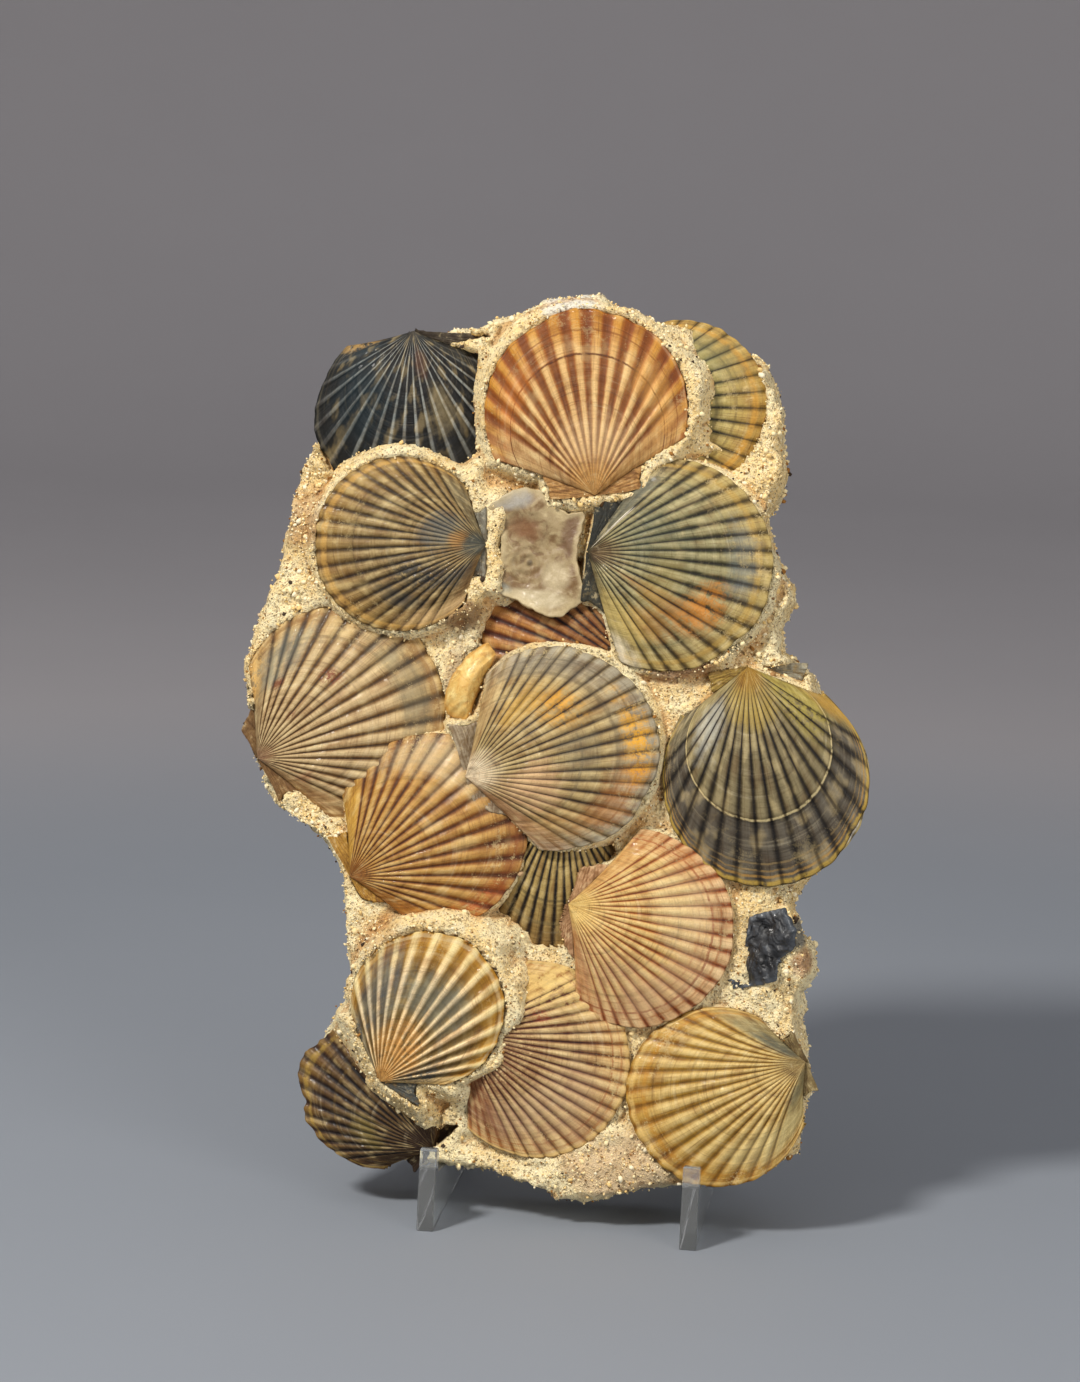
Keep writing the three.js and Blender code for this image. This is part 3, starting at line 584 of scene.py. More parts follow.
valve("brown_bottom_left", (-46.4, 19.7, -10.8), 135, 62, 60, 8, 20, ears=(11, 14), sharp=0.85,
      line=0.7, dust=0.05, ragged=3.0,
      tints="5c4626 23120d 735523 42270d 2b160d 34220e 4c3315 4c3315",
      bands=[(0.94, 0.02, "b09044", 0.6), (0.84, 0.01, "3c2a14", 0.6),
             (0.72, 0.01, "7a6030", 0.4)],
      patches=[(0.4, 0.7, 0.3, 0.2, "4c3a1c", 0.5), (-0.5, 0.5, 0.25, 0.12, "8c7c3c", 0.5)])
valve("grey_right_below", (79, 203, -8), -85, 80, 74, 8, 16, ears=(18, 0), sharp=0.8, line=0.5,
      tints="c8b888 6c6448 d0bc80 8f8050 b5a070 8c8c80 c0a458 c0a458",
      bands=[(0.93, 0.03, "d8d4c0", 0.7), (0.98, 0.01, "ece8dc", 0.8)])
print("valves so far:", len(VALVES))
# %% [markdown]
# ## How a valve is coloured
# The finish reads across and along at each point, so ridges, grooves and growth lines follow the
# shell however it lies. Ridges and grooves get their own colours, which change towards the beak
# and the margin. These colours are partly the shell's own and partly a painted highlight on the
# crests and painted shade in the grooves. A dark line of painted shade lies in the bottom of each
# groove. Noise stretched across the fan gives growth bands, noise stretched along it gives fine
# rays, and round masks with torn edges give stains.

# %% Marks on a shell
STRONG_STAIN = 0.7


def add_bands(paint, colour, look, across, along, noises):
    """Growth lines: one where along is near the line, falling to nought, and broken by noise."""
    cloud, mottle, _, rays = noises
    for where, half_width, code, strength in look["bands"]:
        off = (along - where + cloud.sway(0.02) + rays.sway(0.012)).maths("ABSOLUTE")
        stripe = off.fall(half_width * 0.4, half_width * 1.4) * strength
        colour = paint.mix(stripe * (mottle + rays * 0.5).rise(0.5, 0.75), colour, code)
    return colour


def add_patches(paint, colour, look, across, along, noises):
    """Stains: the squares of the distances across and along, each over its size, are added, and
    noise tears the edge. A strong stain breaks up and a weak one stays a veil."""
    cloud, mottle, grain, rays = noises
    for centre, where, wide, long, code, strength in look["patches"]:
        far_across = (across - centre) / wide
        far_along = (along - where) / long
        far = far_across * far_across + far_along * far_along
        far = far + cloud.sway(2.0) + rays.sway(2.2) + mottle.sway(2.4)
        if strength > STRONG_STAIN:
            torn = (mottle + grain * 0.5).rise(0.6, 0.82) * 1.1
        else:
            torn = 0.5 + mottle * 0.9
        colour = paint.mix(far.fall(-0.3, 1.5) * strength * torn, colour, code)
    return colour


def add_streaks(paint, colour, look, across, along, noises):
    """Streaks: a narrow stripe about a place across, between two places along."""
    cloud = noises[0]
    for centre, half_width, nearest, farthest, code, strength in look["streaks"]:
        off = (across - centre + cloud.sway(0.05)).maths("ABSOLUTE")
        part = along.rise(nearest, nearest + 0.02) * along.fall(farthest - 0.1, farthest)
        colour = paint.mix(off.fall(half_width * 0.4, half_width) * part * strength, colour, code)
    return colour


# %% Shell finish
ZONE_EDGE = 0.004
SHELL_BUMP = 0.0006


def shell_finish(name, look, seed):
    """Groove and ridge colours, partly painted highlight and shade, blended by the wave of the
    ribs, then the flanks and the beak, layers of growth, marks, painted shade in the grooves, worn
    ears and sand."""
    paint = Finish(name + "_finish")
    across, along = paint.number("across"), paint.number("along")
    ear, phase = paint.number("ear"), paint.number("phase")
    place = paint.place()
    cloud = paint.noise(place, 75.0, detail=4.0)
    mottle = paint.noise(place, 330.0, detail=4.0, roughness=0.62)
    grain = paint.noise(place, 1500.0, detail=3.0, roughness=0.7)
    # Patterns on the shell: how often each repeats across it or for each rib, and along it.
    growth = paint.pattern(across * 1.3, along * 24.0, seed, detail=4.0, roughness=0.65)
    striae = paint.pattern(across * 2.5, along * 110.0, seed + 3.0, detail=2.0, roughness=0.6)
    rays = paint.pattern(phase * 2.4, along * 2.6, seed + 7.0, detail=3.0)
    threads = paint.pattern(phase * 9.0, along * 3.0, seed + 11.0, detail=2.0, roughness=0.6)
    plaid = paint.pattern(phase * 0.9, along * 7.0, seed + 13.0, detail=2.0, roughness=0.5)
    # The ridge wave is the mesh's own, because it comes from the same count of ribs.
    ridge = (0.5 - (phase * (2 * np.pi)).maths("COSINE") * 0.5) ** look["sharp"]
    smooth = across.maths("ABSOLUTE").rise(look["span"] - 0.01, look["span"] + 0.05)
    # The crest mask lays the lighter ridge tint on the rib tops and the darker groove tint between
    # them. This is partly the shell's own colouring and partly a painted highlight on the crests
    # and painted shade in the grooves.
    crest = (ridge + rays.sway(0.5) + mottle.sway(0.35) + striae.sway(0.2)).rise(0.12, 0.85)
    at_beak = (along + cloud.sway(0.06)).fall(look["umbo"] * 0.4, look["umbo"] * 1.3)
    if look["zone"]:
        at_margin = (along - (look["zone"] + rays.sway(0.02))).rise(-ZONE_EDGE, ZONE_EDGE)
    else:
        at_margin = (along + cloud.sway(0.16)).rise(0.7, 0.97)
    high = paint.mix(at_margin, look["ridge"], look["margin_ridge"])
    low = paint.mix(at_margin, look["groove"], look["margin_groove"])
    flank = paint.mix(across.rise(-0.1, 0.1), look["left_flank"], look["right_flank"])
    colour = paint.layers(paint.mix(crest, low, high), [
        (smooth * (0.45 + mottle * 0.7) * (1.0 - at_margin * 0.6), flank),
        (at_beak * 0.9, look["beak_tint"]),
        # Broad bands of growth, lighter and darker in turn, and fine lines among them.
        (growth.rise(0.5, 0.74) * 0.5, "6b4c2a", "MULTIPLY"),
        (growth.fall(0.26, 0.46) * 0.16, "fff2cc", "SCREEN"),
        (striae.rise(0.5, 0.8) * 0.5, "8a6a44", "MULTIPLY"),
        (threads.rise(0.5, 0.75) * 0.5, "a07c50", "MULTIPLY"),
        (plaid.rise(0.5, 0.7) * 0.5, "b08a5c", "MULTIPLY"),
        (plaid.fall(0.32, 0.48) * 0.2, "ffe2a0", "SCREEN"),
    ])
    noises = (cloud, mottle, grain, rays)
    for add_marks in (add_bands, add_patches, add_streaks):
        colour = add_marks(paint, colour, look, across, along, noises)
    # Painted shade in the grooves: a narrow dark line, strongest where the ribs are close
    # together.
    gap = ridge.fall(0.0, 0.3) * (1.0 - smooth)
    groove_shade = gap * (0.65 + (1.0 - along) * 0.6) * (0.5 + rays)
    groove_shade = groove_shade * (look["line"] + 0.15) * (1.0 - at_beak * 0.6)
    worn = paint.layers(paint.mix(mottle.rise(0.5, 0.8) * 0.5, look["ear_tint"], flank), [
        (mottle.rise(0.42, 0.66) * 0.7, "9a7c54", "MULTIPLY"),
        (growth.rise(0.45, 0.6) * 0.6, "a88a60", "MULTIPLY"),
        (mottle.fall(0.3, 0.45) * 0.4, "e8d4a4"),
    ])
    # Sand clings near the margin.
    sand = (grain + mottle + cloud).rise(1.62, 1.78) * (0.25 + along.rise(0.6, 1.0))
    colour = paint.layers(colour, [
        # Painted shade: the groove bottoms are darkened with a dark brown.
        (groove_shade, "3c2410", "MULTIPLY"),
        (ear * 0.95, worn),
        (sand * (look["dust"] * 2.0), "e2cb92"),
        ((grain - 0.4) * 0.7, "8f7a5c", "MULTIPLY"),
    ])
    roughness = 0.4 + grain * 0.25 + mottle * 0.08
    height = striae * 0.5 + growth * 0.6 + grain * 0.3 + rays * 0.25 + threads * 0.4 + mottle * 0.3
    return paint.finish(colour, roughness, height, SHELL_BUMP, strength=0.7, **{
        "Coat Weight": 0.04, "Specular IOR Level": 0.3})


# %% [markdown]
# ## Building the valves
# A valve is a grid of ten columns for each rib by eighty-four rows, closed by one point at the
# beak. Each hinge ear is a small grid beside it, a wedge between the fan's straight shoulder and
# the hinge line. A Solidify modifier gives both a wall, so broken edges show their thickness.

# %% Grid for a fan
ROWS, COLUMNS_PER_RIB = 84, 10
BEAK_START = 0.012
RIPPLES_ALONG, RIPPLE_HEIGHT = 34, 0.14
WARP_SIZE, WARP_HEIGHT = 26.0, 0.6
MARGIN_FADING = 0.55
NOTCH_DEPTH, CHIP_DEPTH = 0.005, 0.018
STEP_WIDTH = 0.006


def fan_surface(valve, seed):
    """The fan as an array of points, with across, along and the count of ribs. Height is the
    arch, plus ribs that grow with along, plus fine growth ripples and a slow warp."""
    across, along = np.meshgrid(
        np.linspace(-1, 1, valve["ribs"] * COLUMNS_PER_RIB + 1), np.linspace(BEAK_START, 1, ROWS))
    x, y = fan_point(valve, across, along)
    zero = np.zeros_like(x)
    phase = rib_phase(valve, across, seed)
    wave = rib_wave(valve, phase)
    ribbed = 1 - ease_between(0.98, 1.05, np.abs(across) / valve["span"])
    fading = along ** 0.9 * (1 - MARGIN_FADING * ease_between(0.7, 1.0, along))
    rib = (wave - 0.5) * RIB_RELIEF * valve["relief"] * ribbed * fading
    fine = np.stack([across * 2, along * RIPPLES_ALONG, zero + seed], -1)
    ripple = RIPPLE_HEIGHT * lumps(fine, 1.0, seed=11)
    warp = WARP_HEIGHT * lumps(np.stack([x, y, zero], -1), WARP_SIZE, seed)
    warp = warp * ease_between(0, 0.4, along)
    z = arch_height(valve, across, along) + rib + ripple + warp
    if valve["step"]:
        zone = valve["zone"]
        drop = ease_between(zone - STEP_WIDTH, zone + STEP_WIDTH, along)
        z = z - valve["step"] * drop * (1 - along) / (1 - zone)
    # The margin is scalloped by the ribs and chipped here and there.
    edge = ease_between(0.86, 1.0, along)
    around = np.stack([across * 5, zero, zero + seed], -1)
    chips = np.clip(lumps(around, 1.0, seed=23, octaves=4), -1.4, 0.25)
    notches = NOTCH_DEPTH * (wave - 0.5) * ribbed
    stretch = 1 + edge * (notches + CHIP_DEPTH * valve["ragged"] * chips)
    return np.stack([x * stretch, y * stretch, z], axis=-1), across, along, phase


# %% Grids for ears
EAR_ROWS, EAR_COLUMNS = 22, 26
EAR_RIBS, EAR_RIB_HEIGHT = 5, 0.3
EAR_ON_SHOULDER, EAR_NOTCH = 0.55, 0.08
EAR_LEVEL, EAR_LIFT, EAR_WARP = -0.25, 0.5, 0.35
FRAY_ACROSS, FRAY_ALONG = 0.9, 0.8
EAR_LINES, EAR_LINE_HEIGHT = 60, 0.08


def ear_edge(valve, reach, q):
    """The ear's reach from the beak: its hinge length at q of 0, a part of the shoulder's length
    at q of 1, straight between, less a notch that is a half sine of q, squared."""
    on_shoulder = EAR_ON_SHOULDER * margin_reach(valve, margin_half_angle(valve))
    notch = EAR_NOTCH * reach * np.sin(np.pi * np.clip(q, 0, 1)) ** 2
    return (1 - q) * reach + q * on_shoulder - notch


def ear_surface(valve, side, reach, seed):
    """In polar form about the beak: q turns from the hinge line to the shoulder, s goes out to
    the ear's edge. Height has a few ribs across q and a ragged warp."""
    s, q = np.meshgrid(np.linspace(0.02, 1, EAR_COLUMNS), np.linspace(0, 1, EAR_ROWS))
    shoulder = shoulder_angle(valve, EAR_ON_SHOULDER * s)
    angle = np.pi / 2 - q * (np.pi / 2 - shoulder)
    reach_here = s * ear_edge(valve, reach, q)
    x, y = side * reach_here * np.sin(angle), reach_here * np.cos(angle)
    ragged = lumps(np.stack([x, y, 0 * x + seed], -1), 5.0, seed=41)
    rib = EAR_RIB_HEIGHT * np.cos(q * EAR_RIBS * 2 * np.pi) * s * np.sin(np.pi * q)
    z = EAR_LEVEL + EAR_LIFT * (1 - q) * s + rib + EAR_WARP * ragged * s
    z = z + EAR_LINE_HEIGHT * np.cos(s * EAR_LINES)
    x, y = x + FRAY_ACROSS * ragged * s ** 2, y + FRAY_ALONG * ragged * s ** 2
    return np.stack([x, y, z], -1), s, q


# %% Building each valve
LEG_GAP, SEAT_GAP = 4.2, 0.4
EAR_ACROSS, EAR_ALONG = 0.97, 0.15
SHELL_WALL = 1.7
FIRST_SEED = 3


def near_leg(points, gap):
    """Whether each point lies nearer than the gap to the middle of a leg, from the front."""
    return np.abs(points[:, :1] - np.array(LEG_X)).min(axis=1) < gap


def clear_of_legs(points):
    """Where a shell would reach into a leg's seat, its edge stops just above the seat."""
    points = to_easel(points)
    near = near_leg(points, LEG_GAP)
    points[near, 1] = np.maximum(points[near, 1], SEAT + SEAT_GAP)
    return from_easel(points)


def build_valve(valve, seed):
    """The fan's grid, a fan of triangles to the beak, and a grid for each ear that it has."""
    fan, across, along, phase = fan_surface(valve, seed)
    rows, columns = across.shape
    points = [fan.reshape(-1, 3), np.zeros((1, 3))]
    numbers = {"across": [across.ravel(), [0.0]], "along": [along.ravel(), [0.0]],
               "phase": [phase.ravel(), [valve["ribs"] / 2]],
               "ear": [np.zeros(rows * columns), [0.0]]}
    pole = rows * columns
    first = np.arange(columns - 1)
    faces = grid_faces(rows, columns).tolist()
    faces += np.stack([np.full(columns - 1, pole), first + 1, first], axis=-1).tolist()
    start = pole + 1
    for side, reach in zip((-1, 1), valve["ears"]):
        if reach:
            ear, s, q = ear_surface(valve, side, reach, seed)
            points.append(ear.reshape(-1, 3))
            faces += grid_faces(EAR_ROWS, EAR_COLUMNS, start, flip=side < 0).tolist()
            numbers["across"].append(np.full(s.size, side * EAR_ACROSS))
            numbers["along"].append((EAR_ALONG + 0.5 * q * s).ravel())
            numbers["phase"].append((q * EAR_RIBS).ravel())
            numbers["ear"].append(np.ones(s.size))
            start += s.size
    placed = clear_of_legs(on_slab(valve, np.concatenate(points)))
    numbers = {key: np.concatenate(parts) for key, parts in numbers.items()}
    name = valve["name"]
    piece = make_piece(name + "_shell", placed, faces, numbers, name, SHELL_WALL)
    piece.data.materials.append(shell_finish(name, valve, float(seed)))
    return piece


for seed, entry in enumerate(VALVES.values(), FIRST_SEED):
    shell = build_valve(entry, seed)
    print(shell.name, len(shell.data.polygons), "faces")

# %% [markdown]
# ## The ground the shells lie in
# The rock's face is a height over the slab for every x and y. It starts as low uneven ground.
# Then each valve is pressed in, lowest first: under the valve the rock keeps just below the
# shell, and round it the rock rises to the valve's edge and falls away. A raised valve has a
# broad sandy rim on one side. Working out the nearest place on a fan needs its formula turned
# round, which a few steps of repeated substitution do for all points at once.

# %% Nearest place on a fan
SUBSTITUTIONS = 5
BEHIND_BEAK = 1.9


def fan_numbers(valve, x, y):
    """Across and along of points of the slab. Angle and distance from the beak are known, so
    across is the angle over the fan's half angle at along, and along is the distance over the
    margin's reach at across. Each gives a better value of the other, five times over."""
    turn = valve_turn(valve)[:2, :2]
    local = np.stack([x - valve["beak"][0], y - valve["beak"][1]], -1) @ turn
    angle = np.arctan2(local[..., 0], local[..., 1])
    distance = np.hypot(local[..., 0], local[..., 1])
    along = np.clip(distance / valve["length"], 0, 1)
    for _ in range(SUBSTITUTIONS):
        across = angle / shoulder_angle(valve, along)
        reach = margin_reach(valve, np.clip(across, -1, 1) * margin_half_angle(valve))
        along = distance / reach
    return across, along, angle, distance, local


def beyond_ears(valve, angle, distance, local):
    """How far a point lies outside the nearer ear: past its edge, or behind the hinge line."""
    nearer = np.where(local[..., 0] < 0, *valve["ears"])
    q = (np.pi / 2 - np.abs(angle)) / (np.pi / 2 - shoulder_angle(valve, EAR_ON_SHOULDER))
    past_edge = distance - ear_edge(valve, nearer, np.clip(q, 0, 1))
    outside = np.maximum(past_edge, -local[..., 1])
    return np.where(nearer > 0, outside, np.inf)


def beyond_valve(valve, across, along, angle, distance, local):
    """How far a point lies outside the valve: the larger of what it is past a shoulder and past
    the margin, or what it is outside an ear if that is less. Below nought is inside."""
    over_side = (np.abs(across) - 1) * margin_half_angle(valve) * distance
    over_side = np.where(np.abs(angle) > BEHIND_BEAK, distance, over_side)
    over_margin = (along - 1) * distance / np.maximum(along, 1e-3)
    outside = np.maximum(over_side, over_margin)
    return np.minimum(outside, beyond_ears(valve, angle, distance, local))


# %% Height of the rock's face
GROUND, WAVE_HEIGHT = -3.0, 1.8
WAVES_X, WAVES_Y = (0.061, 0.8), (0.053, -0.4)
UNDER_SHELL = 2.6
RAISED_RIM, NARROWEST = 2, 0.15
RIM_LIP, EDGE_LIP = 0.2, -1.3
RIM_SLOPE, EDGE_SLOPE = 1.7, 3.0
LOWEST_FIRST = """grey_right_below brown_bottom_left striped_centre brown_centre
    striped_top_right dark_top_left grey_left yellow_bottom_right pink_bottom
    dark_stepped_right ochre_left cream_lower_right yellow_blue_left grey_green_right
    grey_gold_centre small_bottom_left orange_top""".split()


def ledge_width(valve, x, y, rough):
    """The sandy rim round a valve: broadest on the side that its heading names, by the cosine
    of the angle from there as seen from the valve's middle."""
    width, heading = valve["rim"]
    facing, toward = np.radians(valve["facing"]), np.radians(heading)
    middle = valve["length"] / 2
    dx = x - valve["beak"][0] - middle * np.cos(facing)
    dy = y - valve["beak"][1] - middle * np.sin(facing)
    share = (dx * np.cos(toward) + dy * np.sin(toward)) / (np.hypot(dx, dy) + 1e-6)
    widening = NARROWEST + (1 - NARROWEST) * ease_between(-0.35, 0.9, share)
    return width * widening * (1 + 0.7 * rough)


def rock_height(x, y):
    """Ground waves and lumps, then for each valve the height under it or the slope round it."""
    place = np.stack([x, y, np.zeros_like(x)], axis=-1)
    rough = lumps(place, 13.0, seed=5, octaves=4)
    crumb = lumps(place, 4.5, seed=9, octaves=3)
    waves = np.sin(WAVES_X[0] * x + WAVES_X[1]) * np.cos(WAVES_Y[0] * y + WAVES_Y[1])
    height = GROUND + WAVE_HEIGHT * waves + 2.2 * rough + 0.5 * crumb
    cover = np.zeros_like(x)
    for name in LOWEST_FIRST:
        shell = VALVES["scallop_" + name]
        across, along, angle, distance, local = fan_numbers(shell, x, y)
        outside = beyond_valve(shell, across, along, angle, distance, local)
        slope = np.tan(np.radians(shell["pitch"]))
        level = shell["beak"][2] + slope * np.clip(local[..., 1], 0, shell["length"])
        arch = arch_height(shell, np.clip(across, -1, 1), np.clip(along, 0, 1))
        under = level + arch - UNDER_SHELL - 0.3 * rough
        raised = shell["rim"][0] > RAISED_RIM
        lip = (RIM_LIP if raised else EDGE_LIP) + 0.45 * crumb + 0.4 * rough
        steep = RIM_SLOPE if raised else EDGE_SLOPE
        ledge = ledge_width(shell, x, y, rough)
        beside = level + lip - steep * np.maximum(outside - ledge, 0)
        buried = beside > height
        height = np.where(outside < 0, under, np.where(buried, beside, height))
        cover = np.where(outside < 0, 1, np.where(buried, 0, cover))
    return height, cover


print("rock's height at the slab's middle:", rock_height(np.zeros(1), np.full(1, 170.0))[0])

# %% [markdown]
# ## The slab of rock
# The slab has to be one closed surface: a front face, a broken edge and a rough back. A grid
# fits the front if its four sides follow four stretches of the outline. A Coons patch does that:
# it blends the two pairs of opposite sides and takes away what is counted twice. The back is the
# same grid turned round, and rings of points close the edge between them.

# %% Outline of the slab
OUTLINE_SIDES = [
    # bottom, left to right
    [(-92, 38), (-81, 26), (-66, 18), (-57, 13.6), (-38, 13.2), (-26, 11.5), (-13, 7), (-4, 4),
     (0, 0.3), (12, 1), (24, 2.5), (36, 5), (47, 8), (60, 8), (80, 11), (91, 20)],
    # right, bottom to top
    [(91, 19), (94, 30), (98, 42), (97, 54), (94, 68), (95, 80), (100, 88), (99, 95), (94, 104),
     (91, 114), (95, 122), (106, 132), (114, 144), (117, 158), (116, 171), (111, 183),
     (103, 192), (99, 201), (88, 209), (88, 219), (93, 226), (92, 233), (87, 240), (84, 250),
     (82, 259), (87, 267), (89, 276), (89, 299), (86, 308), (82, 316)],
    # top, left to right
    [(-87, 314), (-78, 322), (-63, 329), (-49, 331), (-38, 333), (-27, 333), (-22, 337),
     (-13, 339), (-3, 344), (7, 345.5), (19, 345), (24, 340), (33, 338.5), (41, 334), (56, 333),
     (69, 328), (77, 322), (82, 316)],
    # left, bottom to top
    [(-92, 38), (-94, 49), (-90, 64), (-81, 77), (-79, 86), (-81, 98), (-82, 112), (-83, 124),
     (-88, 135), (-99, 143), (-109, 151), (-114, 163), (-118, 177), (-120, 191), (-120, 204),
     (-117, 215), (-111, 229), (-106, 244), (-102, 262), (-99, 280), (-93, 292), (-91, 302),
     (-87, 314)],
]
GRID_COLUMNS, GRID_ROWS = 168, 248
grid_size = GRID_ROWS * GRID_COLUMNS


def along_side(corners, count):
    """Points at equal steps along a chain of corners."""
    corners = np.array(corners, float)
    length = np.concatenate([[0], np.cumsum(np.hypot(*np.diff(corners, axis=0).T))])
    where = np.linspace(0, length[-1], count)
    return np.stack([np.interp(where, length, corners[:, k]) for k in (0, 1)], axis=-1)


def coons_patch(bottom, right, top, left):
    """One less w times bottom plus w times top, plus one less u times left plus u times right,
    less the blend of the four corners."""
    u = np.linspace(0, 1, len(bottom))[None, :, None]
    w = np.linspace(0, 1, len(left))[:, None, None]
    ruled = (1 - w) * bottom[None] + w * top[None] + (1 - u) * left[:, None] + u * right[:, None]
    corners = ((1 - u) * (1 - w) * bottom[0] + u * (1 - w) * bottom[-1]
               + (1 - u) * w * top[0] + u * w * top[-1])
    return ruled - corners


def rim_order(rows, columns):
    """Indices of a grid's edge, anticlockwise from the first corner."""
    index = np.arange(rows * columns).reshape(rows, columns)
    return np.concatenate([index[0], index[1:, -1], index[-1, -2::-1], index[-2:0:-1, 0]])


def outward(loop):
    """Unit vectors out of an anticlockwise loop: its smoothed direction, a right angle on."""
    ahead = np.roll(loop, -4, axis=0) - np.roll(loop, 4, axis=0)
    normal = np.stack([ahead[:, 1], -ahead[:, 0]], axis=-1)
    for _ in range(3):
        normal = normal + np.roll(normal, 3, axis=0) + np.roll(normal, -3, axis=0)
    return normal / np.linalg.norm(normal, axis=-1, keepdims=True)


counts = (GRID_COLUMNS, GRID_ROWS, GRID_COLUMNS, GRID_ROWS)
sides = [along_side(side, count) for side, count in zip(OUTLINE_SIDES, counts)]
rim = rim_order(GRID_ROWS, GRID_COLUMNS)
outline = coons_patch(*sides).reshape(-1, 2)[rim]
out = outward(outline)
print("outline points:", len(outline))

# %% Front and back faces
FRONT_INSET, BACK_INSET = 3.5, 8.0
BACK, BACK_SKIN = -42.6, 1.4
BACK_NOISE_PLACE = 50.0


def with_height(flat, height):
    """Places in a plane with a height added as the third number."""
    height = np.broadcast_to(height, flat.shape[:-1])
    return np.concatenate([flat, height[..., None]], axis=-1)


def face_grid(inset):
    """The outline's grid again, with its sides drawn in by the inset."""
    loop = outline - inset[:, None] * out
    corner = np.cumsum([0, GRID_COLUMNS - 1, GRID_ROWS - 1, GRID_COLUMNS - 1])
    closed = np.concatenate([loop, loop[:1]])
    bottom = closed[corner[0]:corner[1] + 1]
    right = closed[corner[1]:corner[2] + 1]
    top = closed[corner[2]:corner[3] + 1][::-1]
    left = closed[corner[3]:][::-1]
    return coons_patch(bottom, right, top, left)


edge_place = with_height(outline, 0.0)
front = face_grid(FRONT_INSET + 2.0 * lumps(edge_place, 9.0, seed=61, octaves=4))
front_height, front_cover = rock_height(front[..., 0], front[..., 1])
front_points = with_height(front, front_height)
fine = lumps(front_points, 3.6, seed=71, octaves=3)
pits = np.maximum(lumps(front_points, 5.0, seed=73, octaves=2) - 0.45, 0)
front_points[..., 2] += np.where(front_cover > 0, 0.0, 0.7 * fine - 3.0 * pits)
back = face_grid(BACK_INSET + 3.0 * lumps(edge_place, 17.0, seed=63, octaves=3))
back_place = with_height(back, BACK_NOISE_PLACE)
back_relief = (2.2 * lumps(back_place, 42.0, seed=65, octaves=6)
               + 0.5 * lumps(back_place, 4.0, seed=66, octaves=2))
back_points = with_height(back, np.maximum(BACK + BACK_SKIN + back_relief, BACK))
print("covered by shells:", (front_cover > 0).mean().round(2), "of the face")

# %% Broken edge
WALL_RINGS = 15
start_loop = front_points.reshape(-1, 3)[rim]
end_loop = back_points.reshape(-1, 3)[rim]
share = np.linspace(0, 1, WALL_RINGS + 2)[1:-1, None]
# The edge swells to the outline at mid depth: each ring blends front and back, then bulges.
bulge = np.sin(np.pi * share ** 0.8) ** 0.6
depth = start_loop[None, :, 2] * (1 - share) + end_loop[None, :, 2] * share
inset = (FRONT_INSET * (1 - share) + BACK_INSET * share) * (bulge - 1)
wall_place = with_height(outline[None] + inset[..., None] * out[None], depth)
wall_rough = np.clip(lumps(wall_place, 12.0, seed=67, octaves=5), -1.2, 0.9)
wall_fine = lumps(wall_place, 3.4, seed=69, octaves=2)
wall_points = wall_place.copy()
wall_points[..., :2] += out[None] * (2.0 * wall_rough + 0.6 * wall_fine - 1.2)[..., None]
wall_points[..., 2] += 0.8 * lumps(wall_place, 6.0, seed=75, octaves=2)
wall_points = clear_of_legs(wall_points.reshape(-1, 3)).reshape(wall_points.shape)
print("edge in mm:", wall_points[..., 2].min().round(1), "to", wall_points[..., 2].max().round(1))

# %% One closed rock


def hollows(height, rounds=14):
    """How far each point of a height grid lies below its surroundings: the mean of the four
    neighbours, taken again and again, less the height itself."""
    smooth = height.copy()
    for _ in range(rounds):
        padded = np.pad(smooth, 1, mode="edge")
        smooth = (padded[:-2, 1:-1] + padded[2:, 1:-1] + padded[1:-1, :-2]
                  + padded[1:-1, 2:]) / 4
    return smooth - height


wall_index = 2 * grid_size + np.arange(WALL_RINGS * len(rim)).reshape(WALL_RINGS, -1)
rings = [rim, *wall_index, grid_size + rim]
wall_faces = [
    np.stack([upper, lower, np.roll(lower, -1), np.roll(upper, -1)], axis=-1)
    for upper, lower in zip(rings, rings[1:])]
rock_points = np.concatenate([
    face.reshape(-1, 3) for face in (front_points, back_points, wall_points)])
rock_faces = np.concatenate([
    grid_faces(GRID_ROWS, GRID_COLUMNS), grid_faces(GRID_ROWS, GRID_COLUMNS, grid_size, True),
    *wall_faces])
hollow_parts = (hollows(front_points[..., 2]), hollows(-back_points[..., 2]),
                -wall_rough - 0.5 * wall_fine)
rock = make_piece("sandy_shell_rock", rock_points, rock_faces, {
    "hollow": np.concatenate([part.ravel() for part in hollow_parts]),
}, "rock_matrix")
print("rock:", len(rock_faces) * 2, "triangles")

# %% [markdown]
# ## Sandy rock
# The rock is loosely cemented sand and crushed shell: golden cream grains, some white, amber or
# nearly black, with pits between them and brown stains. Cells from a Voronoi texture give each
# grain a colour of its own, larger noise gives the drifts and stains, and painted brown shade
# darkens the hollows measured on the mesh and the gaps between the grains.

# %% Stains on the face
STAIN_DEPTH = 0.03
# Each stain has its x and y on the slab, its width and height in mm, a tint and a strength.
ROCK_STAINS = [
    (-93, 260, 13, 12, "b07838", 0.65), (25, 14, 26, 16, "d2b490", 0.65),
    (45, 205, 16, 9, "8a4c2c", 0.7), (-34, 222, 9, 8, "7c5430", 0.75),
    (-20, 196, 8, 24, "a07444", 0.5), (8, 341, 14, 6, "f2ecdc", 0.9),
    (-36, 200, 6, 16, "8c5c34", 0.5), (60, 95, 15, 20, "d2b27a", 0.4),
    (94, 91, 5, 6, "a8704c", 0.7), (92.7, 101, 4, 5, "5c6870", 0.8),
    (50, 240, 10, 20, "b8885a", 0.4), (-64, 100, 14, 10, "c08c4c", 0.4),
]


